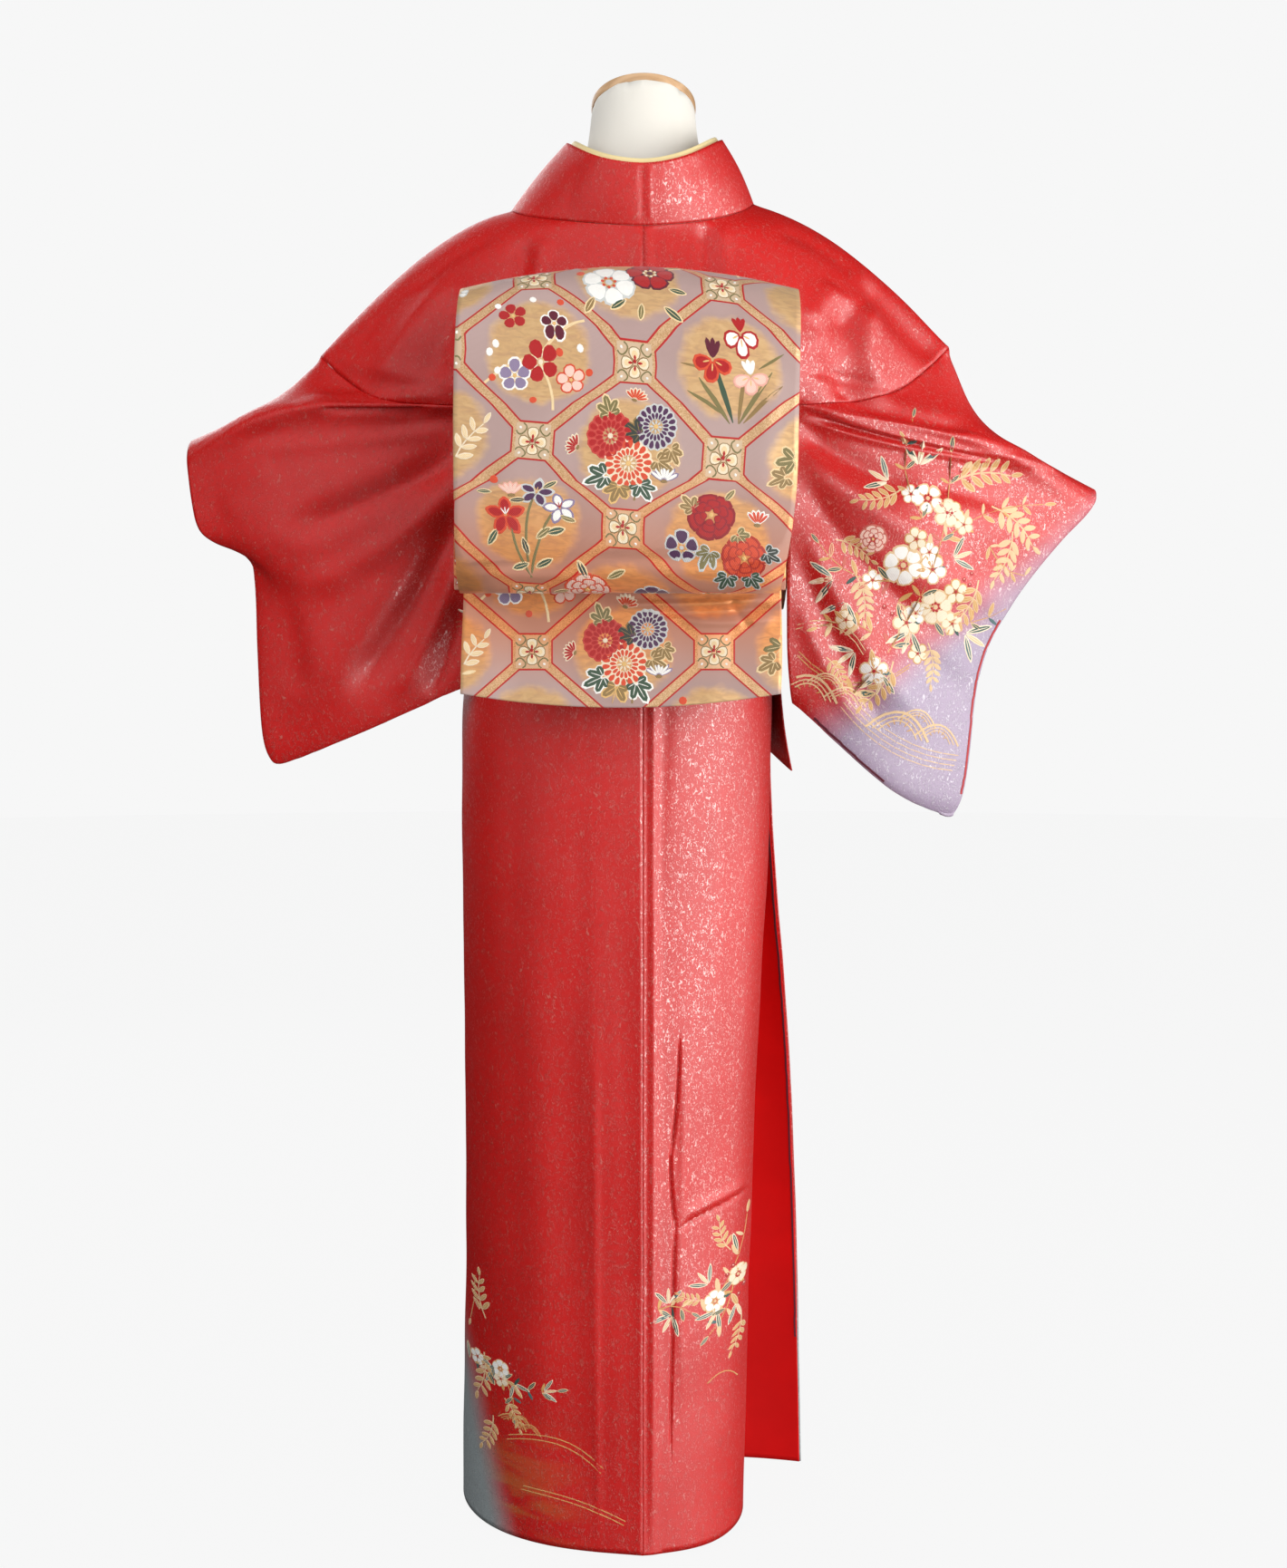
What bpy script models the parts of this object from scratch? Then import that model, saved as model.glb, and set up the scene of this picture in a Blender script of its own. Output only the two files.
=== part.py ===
"""Homongi kimono with its obi, worn on a limbless dress form.

Metres, +Z up. +X is the wearer's right, +Y the garment's front, and the origin is the middle of the
underside of the form's base. Every cloth piece is a sheet through sections worked out from the tables
below, given its wall by a Solidify modifier that grows inwards.
"""
import math
from collections import namedtuple

import bmesh
import bpy
from mathutils import Vector

# Walls and gaps
CLOTH_WALL = 0.0016
COLLAR_WALL = 0.0024
STRIP_WALL = 0.0010
OBI_WALL = 0.0026
SEAM_GAP = 0.0004
ARMHOLE_GAP = 0.0008
COLLAR_GAP = 0.0008
RIDGE_GAP = 0.0008
LAYER_GAP = 0.0003
WAIST_GAP = 0.0010

# Layers at the front: the right front lies under, the left front over it
UNDER = -0.0032
OVER = 0.0016
SKIRT_OVER = 0.0032
TUCK_OUT = 0.0062
OBI_OUT = 0.0106

# Heights
HEM_Z = 0.006
WAIST_Z = 0.930
TUCK_TOP_Z = 0.940
OBI_BOTTOM_Z = 0.925
OBI_TOP_Z = 1.095
HEM_RIDGE = 0.006

# The worn body's sections, from hem to the top of the obi. left and right are the half widths, back and
# front the half depths, left_y and right_y where the widest point lies.
Ring = namedtuple("Ring", "z left right back front left_y right_y")
BODY_RINGS = [
    Ring(0.006, 0.190, 0.104, 0.122, 0.120, 0.070, 0.020),
    Ring(0.120, 0.188, 0.106, 0.121, 0.118, 0.060, 0.018),
    Ring(0.340, 0.184, 0.111, 0.120, 0.115, 0.045, 0.012),
    Ring(0.550, 0.184, 0.120, 0.122, 0.112, 0.030, 0.006),
    Ring(0.720, 0.185, 0.128, 0.124, 0.110, 0.015, 0.000),
    Ring(0.850, 0.182, 0.130, 0.122, 0.107, 0.010, 0.000),
    Ring(0.930, 0.166, 0.131, 0.117, 0.105, 0.004, 0.000),
    Ring(1.000, 0.154, 0.142, 0.115, 0.108, 0.000, 0.000),
    Ring(1.100, 0.152, 0.148, 0.118, 0.116, 0.000, 0.000),
    Ring(1.130, 0.152, 0.150, 0.119, 0.118, 0.000, 0.000),
]
ROUNDNESS = 2.2

# Where the seams stand round the body, in degrees: 0 is the back's middle, 90 the wearer's right
RIGHT_SIDE_SEAM = 140.0
LEFT_SIDE_SEAM = 268.0
RIGHT_FRONT_END = 218.0
RIGHT_OKUMI_END = 300.0
OKUMI_SEAM_SHARE = 0.62

# The free edge of the outer front, standing off the skirt
Edge = namedtuple("Edge", "z x y bend_x front")
FREE_EDGE = [
    Edge(0.006, 0.1715, 0.130, 0.110, 0.150),
    Edge(0.340, 0.1620, 0.112, 0.108, 0.140),
    Edge(0.732, 0.1375, 0.060, 0.112, 0.122),
    Edge(0.930, 0.1250, 0.040, 0.105, 0.108),
]
EDGE_FREE_BELOW = 0.50
EDGE_TIGHT_ABOVE = 0.92

# Collar stations, from the hidden right front end round the neck to the left front end
Station = namedtuple("Station", "name seam_x seam_y seam_z top_x top_y top_z")
COLLAR_STATIONS = [
    Station("right end", -0.050, 0.1036, 1.040, -0.092, 0.0912, 1.066),
    Station("right at obi", -0.0104, 0.1130, 1.106, -0.0574, 0.1065, 1.134),
    Station("right crossing", 0.004, 0.1145, 1.130, -0.042, 0.1105, 1.158),
    Station("right chest", 0.034, 0.1135, 1.180, -0.011, 0.1120, 1.208),
    Station("right breast", 0.066, 0.1060, 1.232, 0.020, 0.1030, 1.262),
    Station("right collarbone", 0.093, 0.0840, 1.276, 0.050, 0.0740, 1.318),
    Station("right shoulder front", 0.107, 0.0450, 1.308, 0.070, 0.0360, 1.362),
    Station("right shoulder", 0.111, 0.0000, 1.329, 0.079, -0.0080, 1.386),
    Station("right shoulder back", 0.100, -0.0480, 1.312, 0.073, -0.0540, 1.378),
    Station("right back", 0.060, -0.0860, 1.294, 0.044, -0.0990, 1.354),
    Station("back", 0.000, -0.1000, 1.286, 0.002, -0.1100, 1.343),
    Station("left back", -0.062, -0.0860, 1.293, -0.044, -0.0990, 1.352),
    Station("left shoulder back", -0.116, -0.0480, 1.306, -0.070, -0.0540, 1.374),
    Station("left shoulder", -0.134, 0.0000, 1.322, -0.078, -0.0080, 1.384),
    Station("left shoulder front", -0.126, 0.0450, 1.303, -0.073, 0.0360, 1.360),
    Station("left collarbone", -0.103, 0.0860, 1.268, -0.052, 0.0780, 1.315),
    Station("left breast", -0.070, 0.1090, 1.225, -0.022, 0.1070, 1.258),
    Station("left chest", -0.036, 0.1190, 1.175, 0.010, 0.1185, 1.205),
    Station("left crossing", -0.005, 0.1215, 1.128, 0.041, 0.1175, 1.156),
    Station("left at obi", 0.0100, 0.1192, 1.106, 0.0554, 0.1140, 1.134),
    Station("left end", 0.049, 0.1083, 1.040, 0.091, 0.0950, 1.066),
]
COLLAR_BULGE = 0.003

# Armhole seams on the back, from under the arm to the shoulder; the front mirrors them
Seam = namedtuple("Seam", "x y z")
RIGHT_ARMHOLE = [
    Seam(0.141, -0.078, 1.107),
    Seam(0.150, -0.089, 1.118),
    Seam(0.196, -0.080, 1.121),
    Seam(0.246, -0.058, 1.134),
    Seam(0.282, -0.029, 1.162),
    Seam(0.306, 0.000, 1.186),
]
LEFT_ARMHOLE = [
    Seam(-0.155, -0.076, 1.107),
    Seam(-0.164, -0.087, 1.117),
    Seam(-0.212, -0.077, 1.119),
    Seam(-0.262, -0.056, 1.128),
    Seam(-0.302, -0.028, 1.156),
    Seam(-0.324, 0.000, 1.177),
]

# Bodice sections above the obi. Each runs from the middle back (inner) or a collar station to the armhole.
# knee is the point between, and armhole the place along the seam: 0 under the arm at the back, 5 at the
# shoulder, 10 under the arm at the front.
Section = namedtuple("Section", "inner_y inner_z station knee_x knee_y knee_z armhole")
RIGHT_BODICE = [
    Section(-0.121, 1.114, None, 0.092, -0.106, 1.113, 0),
    Section(-0.122, 1.140, None, 0.090, -0.113, 1.130, 1),
    Section(-0.120, 1.185, None, 0.116, -0.110, 1.168, 2),
    Section(-0.113, 1.238, None, 0.146, -0.096, 1.208, 3),
    Section(0.000, 0.000, "back", 0.160, -0.076, 1.240, 3.7),
    Section(0.000, 0.000, "right back", 0.177, -0.053, 1.262, 4.2),
    Section(0.000, 0.000, "right shoulder back", 0.194, -0.026, 1.276, 4.65),
    Section(0.000, 0.000, "right shoulder", 0.206, 0.004, 1.281, 5),
    Section(0.000, 0.000, "right shoulder front", 0.198, 0.028, 1.272, 5.40),
    Section(0.000, 0.000, "right collarbone", 0.180, 0.052, 1.248, 6),
    Section(0.000, 0.000, "right breast", 0.158, 0.080, 1.215, 7),
    Section(0.000, 0.000, "right chest", 0.130, 0.098, 1.168, 8),
    Section(0.000, 0.000, "right crossing", 0.088, 0.1000, 1.124, 9),
    Section(0.000, 0.000, "right at obi", 0.082, 0.0975, 1.107, 10),
]
LEFT_BODICE = [
    Section(-0.121, 1.114, None, -0.096, -0.106, 1.113, 0),
    Section(-0.122, 1.140, None, -0.098, -0.113, 1.130, 1),
    Section(-0.120, 1.185, None, -0.124, -0.110, 1.168, 2),
    Section(-0.113, 1.238, None, -0.156, -0.096, 1.208, 3),
    Section(0.000, 0.000, "back", -0.170, -0.076, 1.240, 3.7),
    Section(0.000, 0.000, "left back", -0.189, -0.053, 1.261, 4.2),
    Section(0.000, 0.000, "left shoulder back", -0.207, -0.026, 1.274, 4.65),
    Section(0.000, 0.000, "left shoulder", -0.220, 0.004, 1.279, 5),
    Section(0.000, 0.000, "left shoulder front", -0.212, 0.028, 1.270, 5.40),
    Section(0.000, 0.000, "left collarbone", -0.192, 0.054, 1.244, 6),
    Section(0.000, 0.000, "left breast", -0.164, 0.083, 1.210, 7),
    Section(0.000, 0.000, "left chest", -0.134, 0.101, 1.164, 8),
    Section(0.000, 0.000, "left crossing", -0.096, 0.1060, 1.122, 9),
    Section(0.000, 0.000, "left at obi", -0.084, 0.1045, 1.106, 10),
]

# Bodice sections inside the obi: where the open side edge stands, in degrees from the middle back or front
Hidden = namedtuple("Hidden", "z side_turn")
HIDDEN_SECTIONS = [
    Hidden(1.098, 52),
    Hidden(1.070, 68),
    Hidden(1.020, 84),
    Hidden(0.970, 90),
    Hidden(WAIST_Z + WAIST_GAP, 90),
]
FRONT_EDGE_SLOPE = 0.60

# Sleeve sections from the top fold down to the bottom edge, on the side toward the back. i is the point at
# the armhole or the open inner edge, k the middle and o the wrist or outer edge. shift moves the front
# wall's inner point out, gap is the front wall's distance at the three points, opening says whether the
# wrist is open there and armhole is the seam row that i sits on.
Sleeve = namedtuple("Sleeve", "name armhole ix iy iz kx ky kz ox oy oz shift gap_i gap_k gap_o opening")
RIGHT_SLEEVE = [
    Sleeve("top fold", 5, 0, 0, 0, 0.346, 0.000, 1.106, 0.457, 0.020, 1.047, 0, 0, 0, 0, True),
    Sleeve("cap", 4, 0, 0, 0, 0.343, -0.034, 1.100, 0.457, 0.010, 1.043, 0, 0, 0.062, 0.018, True),
    Sleeve("cap middle", 3, 0, 0, 0, 0.338, -0.050, 1.097, 0.456, 0.004, 1.039, 0, 0, 0.092, 0.030, True),
    Sleeve("cap foot", 2, 0, 0, 0, 0.330, -0.058, 1.094, 0.455, 0.000, 1.034, 0, 0, 0.104, 0.038, True),
    Sleeve("ridge", 1, 0, 0, 0, 0.320, -0.066, 1.088, 0.450, -0.006, 1.026, 0, 0, 0.108, 0.046, True),
    Sleeve("under ridge", 0, 0, 0, 0, 0.312, -0.056, 1.070, 0.440, -0.008, 1.014, 0, 0, 0.098, 0.050, True),
    Sleeve("upper", None, 0.141, -0.088, 1.050, 0.292, -0.076, 1.020,
           0.418, -0.012, 0.992, 0.030, 0.134, 0.100, 0.050, True),
    Sleeve("middle", None, 0.139, -0.088, 0.980, 0.270, -0.072, 0.955,
           0.386, -0.018, 0.954, 0.036, 0.104, 0.082, 0.040, True),
    Sleeve("wrist foot", None, 0.139, -0.083, 0.915, 0.256, -0.066, 0.890,
           0.350, -0.021, 0.900, 0.036, 0.080, 0.062, 0.020, True),
    Sleeve("bag", None, 0.140, -0.077, 0.880, 0.248, -0.060, 0.840,
           0.336, -0.021, 0.858, 0.034, 0.066, 0.048, 0.009, False),
    Sleeve("lower bag", None, 0.142, -0.071, 0.856, 0.245, -0.053, 0.788,
           0.329, -0.020, 0.792, 0.030, 0.046, 0.034, 0.008, False),
    Sleeve("near bottom", None, 0.144, -0.065, 0.840, 0.241, -0.049, 0.756,
           0.321, -0.018, 0.732, 0.020, 0.018, 0.016, 0.008, False),
    Sleeve("bottom", None, 0.146, -0.058, 0.831, 0.240, -0.043, 0.747,
           0.306, -0.014, 0.712, 0.012, 0, 0, 0, False),
]
LEFT_SLEEVE = [
    Sleeve("top fold", 5, 0, 0, 0, -0.374, 0.000, 1.131, -0.457, 0.020, 1.096, 0, 0, 0, 0, True),
    Sleeve("cap", 4, 0, 0, 0, -0.372, -0.028, 1.128, -0.458, 0.010, 1.091, 0, 0, 0.054, 0.018, True),
    Sleeve("cap middle", 3, 0, 0, 0, -0.368, -0.044, 1.125, -0.458, 0.004, 1.086, 0, 0, 0.084, 0.030, True),
    Sleeve("cap foot", 2, 0, 0, 0, -0.362, -0.054, 1.121, -0.458, 0.000, 1.080, 0, 0, 0.100, 0.038, True),
    Sleeve("ridge", 1, 0, 0, 0, -0.354, -0.062, 1.115, -0.457, -0.006, 1.070, 0, 0, 0.106, 0.046, True),
    Sleeve("under ridge", 0, 0, 0, 0, -0.350, -0.054, 1.098,
           -0.455, -0.008, 1.052, 0, 0, 0.096, 0.050, True),
    Sleeve("upper", None, -0.160, -0.086, 1.050, -0.340, -0.066, 1.050,
           -0.451, -0.012, 1.026, -0.022, 0.130, 0.100, 0.050, True),
    Sleeve("wrist foot", None, -0.162, -0.086, 1.000, -0.336, -0.068, 0.996,
           -0.443, -0.016, 1.000, -0.030, 0.092, 0.082, 0.036, True),
    Sleeve("wrist corner", None, -0.171, -0.078, 0.962, -0.330, -0.066, 0.962,
           -0.418, -0.020, 0.985, -0.028, 0.076, 0.064, 0.020, True),
    Sleeve("bag", None, -0.171, -0.076, 0.940, -0.322, -0.064, 0.925,
           -0.390, -0.022, 0.970, -0.030, 0.068, 0.054, 0.009, False),
    Sleeve("lower bag", None, -0.171, -0.070, 0.890, -0.306, -0.058, 0.860,
           -0.387, -0.022, 0.870, -0.030, 0.050, 0.040, 0.008, False),
    Sleeve("near bottom", None, -0.172, -0.066, 0.858, -0.288, -0.050, 0.810,
           -0.382, -0.019, 0.788, -0.026, 0.018, 0.016, 0.008, False),
    Sleeve("bottom", None, -0.172, -0.060, 0.847, -0.284, -0.044, 0.798,
           -0.366, -0.015, 0.765, -0.014, 0, 0, 0, False),
]

# Largest folds, seen from the back: a soft line from one end to the other, its half width, and its depth,
# which is positive for a ridge and negative for a trough
Fold = namedtuple("Fold", "x0 z0 x1 z1 width depth")
RIGHT_BODICE_FOLDS = [
    Fold(0.187, 1.214, 0.218, 1.176, 0.012, -0.006),
    Fold(0.218, 1.178, 0.206, 1.133, 0.014, -0.007),
    Fold(0.232, 1.238, 0.279, 1.177, 0.010, -0.005),
    Fold(0.190, 1.240, 0.245, 1.170, 0.012, 0.003),
    Fold(0.061, 1.262, 0.110, 1.235, 0.014, -0.004),
]
LEFT_BODICE_FOLDS = [
    Fold(-0.113, 1.262, -0.150, 1.215, 0.014, -0.004),
    Fold(-0.170, 1.262, -0.270, 1.176, 0.011, -0.004),
    Fold(-0.195, 1.238, -0.262, 1.150, 0.012, 0.003),
    Fold(-0.180, 1.200, -0.225, 1.140, 0.012, -0.003),
]
RIGHT_SLEEVE_FOLDS = [
    Fold(0.150, 1.118, 0.410, 1.071, 0.006, 0.005),
    Fold(0.160, 1.098, 0.330, 1.072, 0.006, 0.004),
    Fold(0.150, 1.092, 0.360, 1.030, 0.012, -0.005),
    Fold(0.150, 1.070, 0.330, 0.920, 0.016, 0.006),
    Fold(0.150, 1.040, 0.300, 0.860, 0.014, -0.006),
    Fold(0.152, 1.000, 0.262, 0.800, 0.014, 0.005),
    Fold(0.250, 1.060, 0.400, 0.985, 0.012, 0.003),
]
LEFT_SLEEVE_FOLDS = [
    Fold(-0.185, 1.118, -0.400, 1.100, 0.006, 0.005),
    Fold(-0.185, 1.100, -0.440, 1.030, 0.014, -0.005),
    Fold(-0.185, 1.080, -0.400, 0.970, 0.016, 0.005),
    Fold(-0.185, 1.050, -0.370, 0.880, 0.015, -0.006),
    Fold(-0.185, 1.000, -0.355, 0.810, 0.016, 0.006),
    Fold(-0.182, 0.940, -0.290, 0.815, 0.013, -0.005),
]
LEFT_SKIRT_FOLDS = [
    Fold(-0.046, 0.640, -0.044, 0.006, 0.009, 0.006),
    Fold(-0.070, 0.600, -0.066, 0.006, 0.012, -0.006),
    Fold(-0.026, 0.700, -0.022, 0.006, 0.009, -0.004),
]
RIGHT_SKIRT_FOLDS = [
    Fold(0.034, 0.560, 0.031, 0.130, 0.007, -0.006),
    Fold(0.046, 0.540, 0.043, 0.150, 0.009, 0.004),
    Fold(0.030, 0.326, 0.104, 0.349, 0.007, -0.005),
    Fold(0.036, 0.340, 0.104, 0.364, 0.009, 0.003),
]

# The obi's drum: the path of its cloth in side view, from the band up over the top and round the bottom
Bend = namedtuple("Bend", "y z crown left right")
DRUM_PATH = [
    Bend(-0.1268, 1.020, 0.0, -0.165, 0.136),
    Bend(-0.1288, 1.090, 0.0, -0.165, 0.138),
    Bend(-0.1338, 1.150, 0.3, -0.165, 0.139),
    Bend(-0.1480, 1.205, 0.8, -0.165, 0.140),
    Bend(-0.1830, 1.233, 1.0, -0.166, 0.141),
    Bend(-0.2240, 1.216, 1.0, -0.167, 0.141),
    Bend(-0.2450, 1.170, 0.6, -0.168, 0.140),
    Bend(-0.2540, 1.100, 0.2, -0.169, 0.138),
    Bend(-0.2540, 1.030, 0.0, -0.169, 0.137),
    Bend(-0.2450, 0.975, 0.0, -0.169, 0.131),
    Bend(-0.2280, 0.942, 0.0, -0.168, 0.125),
    Bend(-0.2080, 0.932, 0.0, -0.167, 0.124),
    Bend(-0.1900, 0.942, 0.0, -0.167, 0.124),
    Bend(-0.1810, 0.975, 0.0, -0.167, 0.126),
    Bend(-0.1806, 1.030, 0.0, -0.167, 0.128),
]
DRUM_CROWN = 0.020
DRUM_BACK_Y = -0.240
FLAP_PATH = [
    Bend(-0.1796, 1.020, 0.0, -0.166, 0.127),
    Bend(-0.1792, 0.975, 0.0, -0.166, 0.127),
    Bend(-0.1720, 0.930, 0.0, -0.167, 0.128),
    Bend(-0.1690, 0.890, 0.0, -0.169, 0.129),
    Bend(-0.1700, 0.855, 0.0, -0.170, 0.129),
    Bend(-0.1720, 0.828, 0.0, -0.1705, 0.128),
]
FLAP_SAG = 0.013
HAND_END_LEFT = -0.173
HAND_END_RIGHT = 0.130
HAND_END_BOTTOM = 0.9352
HAND_END_TOP = 0.985
HAND_END_MIDDLE_Y = -0.2070
HAND_END_THICK = 0.007

# The dress form's sections: half width, back and front depth
Form = namedtuple("Form", "z half back front")
FORM_SHOULDERS = [
    Form(1.120, 0.142, 0.100, 0.102),
    Form(1.160, 0.146, 0.098, 0.098),
    Form(1.200, 0.152, 0.093, 0.090),
    Form(1.235, 0.156, 0.088, 0.078),
    Form(1.262, 0.154, 0.078, 0.064),
    Form(1.284, 0.140, 0.067, 0.051),
    Form(1.302, 0.112, 0.058, 0.046),
    Form(1.322, 0.082, 0.055, 0.046),
    Form(1.348, 0.064, 0.055, 0.049),
    Form(1.382, 0.056, 0.054, 0.050),
    Form(1.417, 0.052, 0.052, 0.050),
]
FORM_SLACK = 0.0080
FORM_WAIST_SLACK = 0.0062
FORM_WAIST_FROM = 0.840
FORM_WAIST_TO = 0.930
FORM_BOTTOM_Z = 0.700
NECK_TILT = math.radians(22)
NECK_TILT_FROM_Z = 1.348
CAP_RADIUS = 0.0525
CAP_THICK = 0.010
CAP_GAP = 0.0006
POLE_RADIUS = 0.0125
BASE_RADIUS = 0.092
BASE_THICK = 0.012

# How finely the sheets are divided. steps count the rows made from each row of a table.
BODICE_COLUMNS = 9
BODICE_STEPS = 2
SLEEVE_COLUMNS = 9
SLEEVE_STEPS = 2
BACK_LEFT_COLUMNS = 13
BACK_RIGHT_COLUMNS = 15
UNDER_COLUMNS = 8
FRONT_LEFT_COLUMNS = 11
OKUMI_LEFT_COLUMNS = 7
TUCK_COLUMNS = 20
TUCK_LEVELS = 4
BAND_COLUMNS = 44
BAND_LEVELS = 4
DRUM_COLUMNS = 8
DRUM_STEPS = 2
FLAP_COLUMNS = 10
FORM_COLUMNS = 24
SKIRT_LEVELS = [
    HEM_Z, 0.050, 0.110, 0.180, 0.255, 0.330, 0.410, 0.500, 0.590, 0.670, 0.740, 0.800, 0.850, 0.892, WAIST_Z,
]
FORM_LEVELS = [FORM_BOTTOM_Z, 0.740, 0.790, 0.840, 0.885, 0.925, 0.970, 1.020, 1.070]
FORM_FOOT_SHARES = [0.80, 0.96]

# Collar strip: the stations it runs between and how much of the collar's width it covers
COLLAR_LAST = len(COLLAR_STATIONS) - 1
STRIP_FROM = 5.0
STRIP_TO = 15.0
STRIP_STEPS = 20
STRIP_GAP = 0.0014
STRIP_LOW = 0.78
STRIP_HIGH = 1.07

# Where the fronts' edges cross, and where the wrapped outer front ends when it lies tight
BODICE_CROSSING_Z = 1.1120
RIGHT_WRAP_END = 104.0
LINING_TOP_Z = 0.760
LINING_GAP = 0.0005
LINING_INSET = 0.0012

# The tuck below the obi: seams in degrees from the back's middle, bottom heights and its dropped corner
TUCK_WALL = 0.0022
TUCK_LEFT_SEAM = 94.0
TUCK_RIGHT_SEAM = 92.0
TUCK_BACK_Z = 0.862
TUCK_FRONT_Z = 0.885
TUCK_TAB_Z = 0.762
TUCK_TAB_OUT = 0.016

RED = (0.60, 0.035, 0.030)
LINING_RED = (0.45, 0.010, 0.012)
OBI_GOLD = (0.62, 0.42, 0.28)
STRIP_GOLD = (0.75, 0.62, 0.36)
CLOTH_FINISH = (RED, 0.55)
OBI_FINISH = (OBI_GOLD, 0.35)


def between(table, height):
    """Read a table of rows that start with z at one height, along a smooth curve through its rows."""
    rows = sorted(table, key=lambda row: row.z)
    fields = [name for name in rows[0]._fields if name != "z"]
    height_in = min(max(height, rows[0].z), rows[-1].z)
    low = 0
    while low < len(rows) - 2 and height_in > rows[low + 1].z:
        low += 1
    span = rows[low + 1].z - rows[low].z
    share = (height_in - rows[low].z) / span
    values = {"z": height}
    for name in fields:
        here = getattr(rows[low], name)
        above = getattr(rows[low + 1], name)
        slopes = [slope(rows, index, name) * span for index in (low, low + 1)]
        values[name] = hermite(here, above, *slopes, share)
    return type(rows[0])(**values)


def slope(rows, index, name):
    """Slope of one column at one row, from its neighbours."""
    before = rows[max(index - 1, 0)]
    after = rows[min(index + 1, len(rows) - 1)]
    return (getattr(after, name) - getattr(before, name)) / (after.z - before.z)


def hermite(start, end, start_slope, end_slope, share):
    """Cubic from start to end with the given end slopes."""
    square = share * share
    cube = square * share
    return (
        (2 * cube - 3 * square + 1) * start
        + (cube - 2 * square + share) * start_slope
        + (3 * square - 2 * cube) * end
        + (cube - square) * end_slope
    )


def smooth(share):
    """Soft step from 0 to 1."""
    held = min(max(share, 0.0), 1.0)
    return held * held * (3 - 2 * held)


def along(points, place):
    """Point at a place counted in points, on a smooth curve through them."""
    last = len(points) - 1
    low = min(int(place), last - 1)
    share = place - low
    here, above = points[low], points[low + 1]
    before = points[low - 1] if low > 0 else here * 2 - above
    after = points[low + 2] if low + 2 <= last else above * 2 - here
    return hermite(here, above, (above - before) * 0.5, (after - here) * 0.5, share)


def spread(points, count):
    """Read count + 1 evenly spaced points along the curve through points."""
    last = len(points) - 1
    return [along(points, last * index / count) for index in range(count + 1)]


def arc(inner, knee, outer, count):
    """Count + 1 points along the parabola through three points."""
    points = []
    for index in range(count + 1):
        share = index / count
        from_inner = inner * ((1 - share) * (1 - 2 * share))
        from_knee = knee * (4 * share * (1 - share))
        from_outer = outer * (share * (2 * share - 1))
        points.append(from_inner + from_knee + from_outer)
    return points


def refine(rows, steps):
    """Add rows between the rows of a grid, each column along its own smooth curve."""
    columns = [spread([row[index] for row in rows], (len(rows) - 1) * steps) for index in range(len(rows[0]))]
    return [list(row) for row in zip(*columns)]


def body_xy(ring, turn):
    """Plan point of the worn body's outside at a turn in degrees, without any offset."""
    side = math.sin(math.radians(turn))
    fore = math.cos(math.radians(turn))
    half = ring.right if side >= 0 else ring.left
    side_y = ring.right_y if side >= 0 else ring.left_y
    deep = ring.back + side_y if fore > 0 else ring.front - side_y
    power = 2 / ROUNDNESS
    x = math.copysign(half * abs(side) ** power, side)
    y = side_y - math.copysign(deep * abs(fore) ** power, fore)
    return Vector((x, y, 0))


def body_point(height, turn, out=0.0):
    """Point on the worn body, moved out square to its surface, with the ridge of the middle back seam."""
    ring = between(BODY_RINGS, height)
    here = body_xy(ring, turn)
    run = body_xy(ring, turn + 1) - body_xy(ring, turn - 1)
    outward = Vector((run.y, -run.x, 0)).normalized()
    ridge_share = smooth((WAIST_Z - height) / 0.5)
    ridge = HEM_RIDGE * ridge_share * math.exp(-abs(here.x) / 0.016) if here.y < 0 else 0.0
    point = here + outward * (out + ridge)
    point.z = height
    return point


def fold_height(point, folds):
    """Sum of all folds at a point on the back of a piece."""
    total = 0.0
    for fold in folds:
        run_x, run_z = fold.x1 - fold.x0, fold.z1 - fold.z0
        length = math.hypot(run_x, run_z)
        share = ((point.x - fold.x0) * run_x + (point.z - fold.z0) * run_z) / length ** 2
        across = ((point.x - fold.x0) * run_z - (point.z - fold.z0) * run_x) / length
        if 0 < share < 1:
            total += fold.depth * math.exp(-(across / fold.width) ** 2) * min(1, 5 * share, 5 * (1 - share))
    return total


def folded(rows, folds, back_only=True):
    """Move a grid's inner points along its surface by the folds, leaving its edges where they are."""
    moved = [list(row) for row in rows]
    for r in range(1, len(rows) - 1):
        for c in range(1, len(rows[r]) - 1):
            point = rows[r][c]
            if back_only and point.y > 0:
                continue
            run = rows[r][c + 1] - rows[r][c - 1]
            rise = rows[r + 1][c] - rows[r - 1][c]
            normal = run.cross(rise).normalized()
            if normal.y > 0:
                normal = -normal
            moved[r][c] = point + normal * fold_height(point, folds)
    return moved


def material(name, colour, roughness=0.7, metallic=0.0):
    """Principled material with the piece's own colour."""
    made = bpy.data.materials.new(name)
    made.use_nodes = True
    shader = made.node_tree.nodes["Principled BSDF"]
    shader.inputs["Base Color"].default_value = (*colour, 1)
    shader.inputs["Roughness"].default_value = roughness
    shader.inputs["Metallic"].default_value = metallic
    made.diffuse_color = (*colour, 1)
    return made


def add_object(name, mesh, finish):
    """Put a finished bmesh in the scene as one object."""
    data = bpy.data.meshes.new(name)
    mesh.to_mesh(data)
    mesh.free()
    for face in data.polygons:
        face.use_smooth = True
    data.materials.append(material(name, *finish))
    thing = bpy.data.objects.new(name, data)
    bpy.context.collection.objects.link(thing)
    return thing


def grid_mesh(rows):
    """Make a bmesh of quads from a grid of points."""
    mesh = bmesh.new()
    corners = [[mesh.verts.new(point) for point in row] for row in rows]
    for low, high in zip(corners, corners[1:]):
        for index in range(len(low) - 1):
            mesh.faces.new((low[index], low[index + 1], high[index + 1], high[index]))
    return mesh, corners


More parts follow.
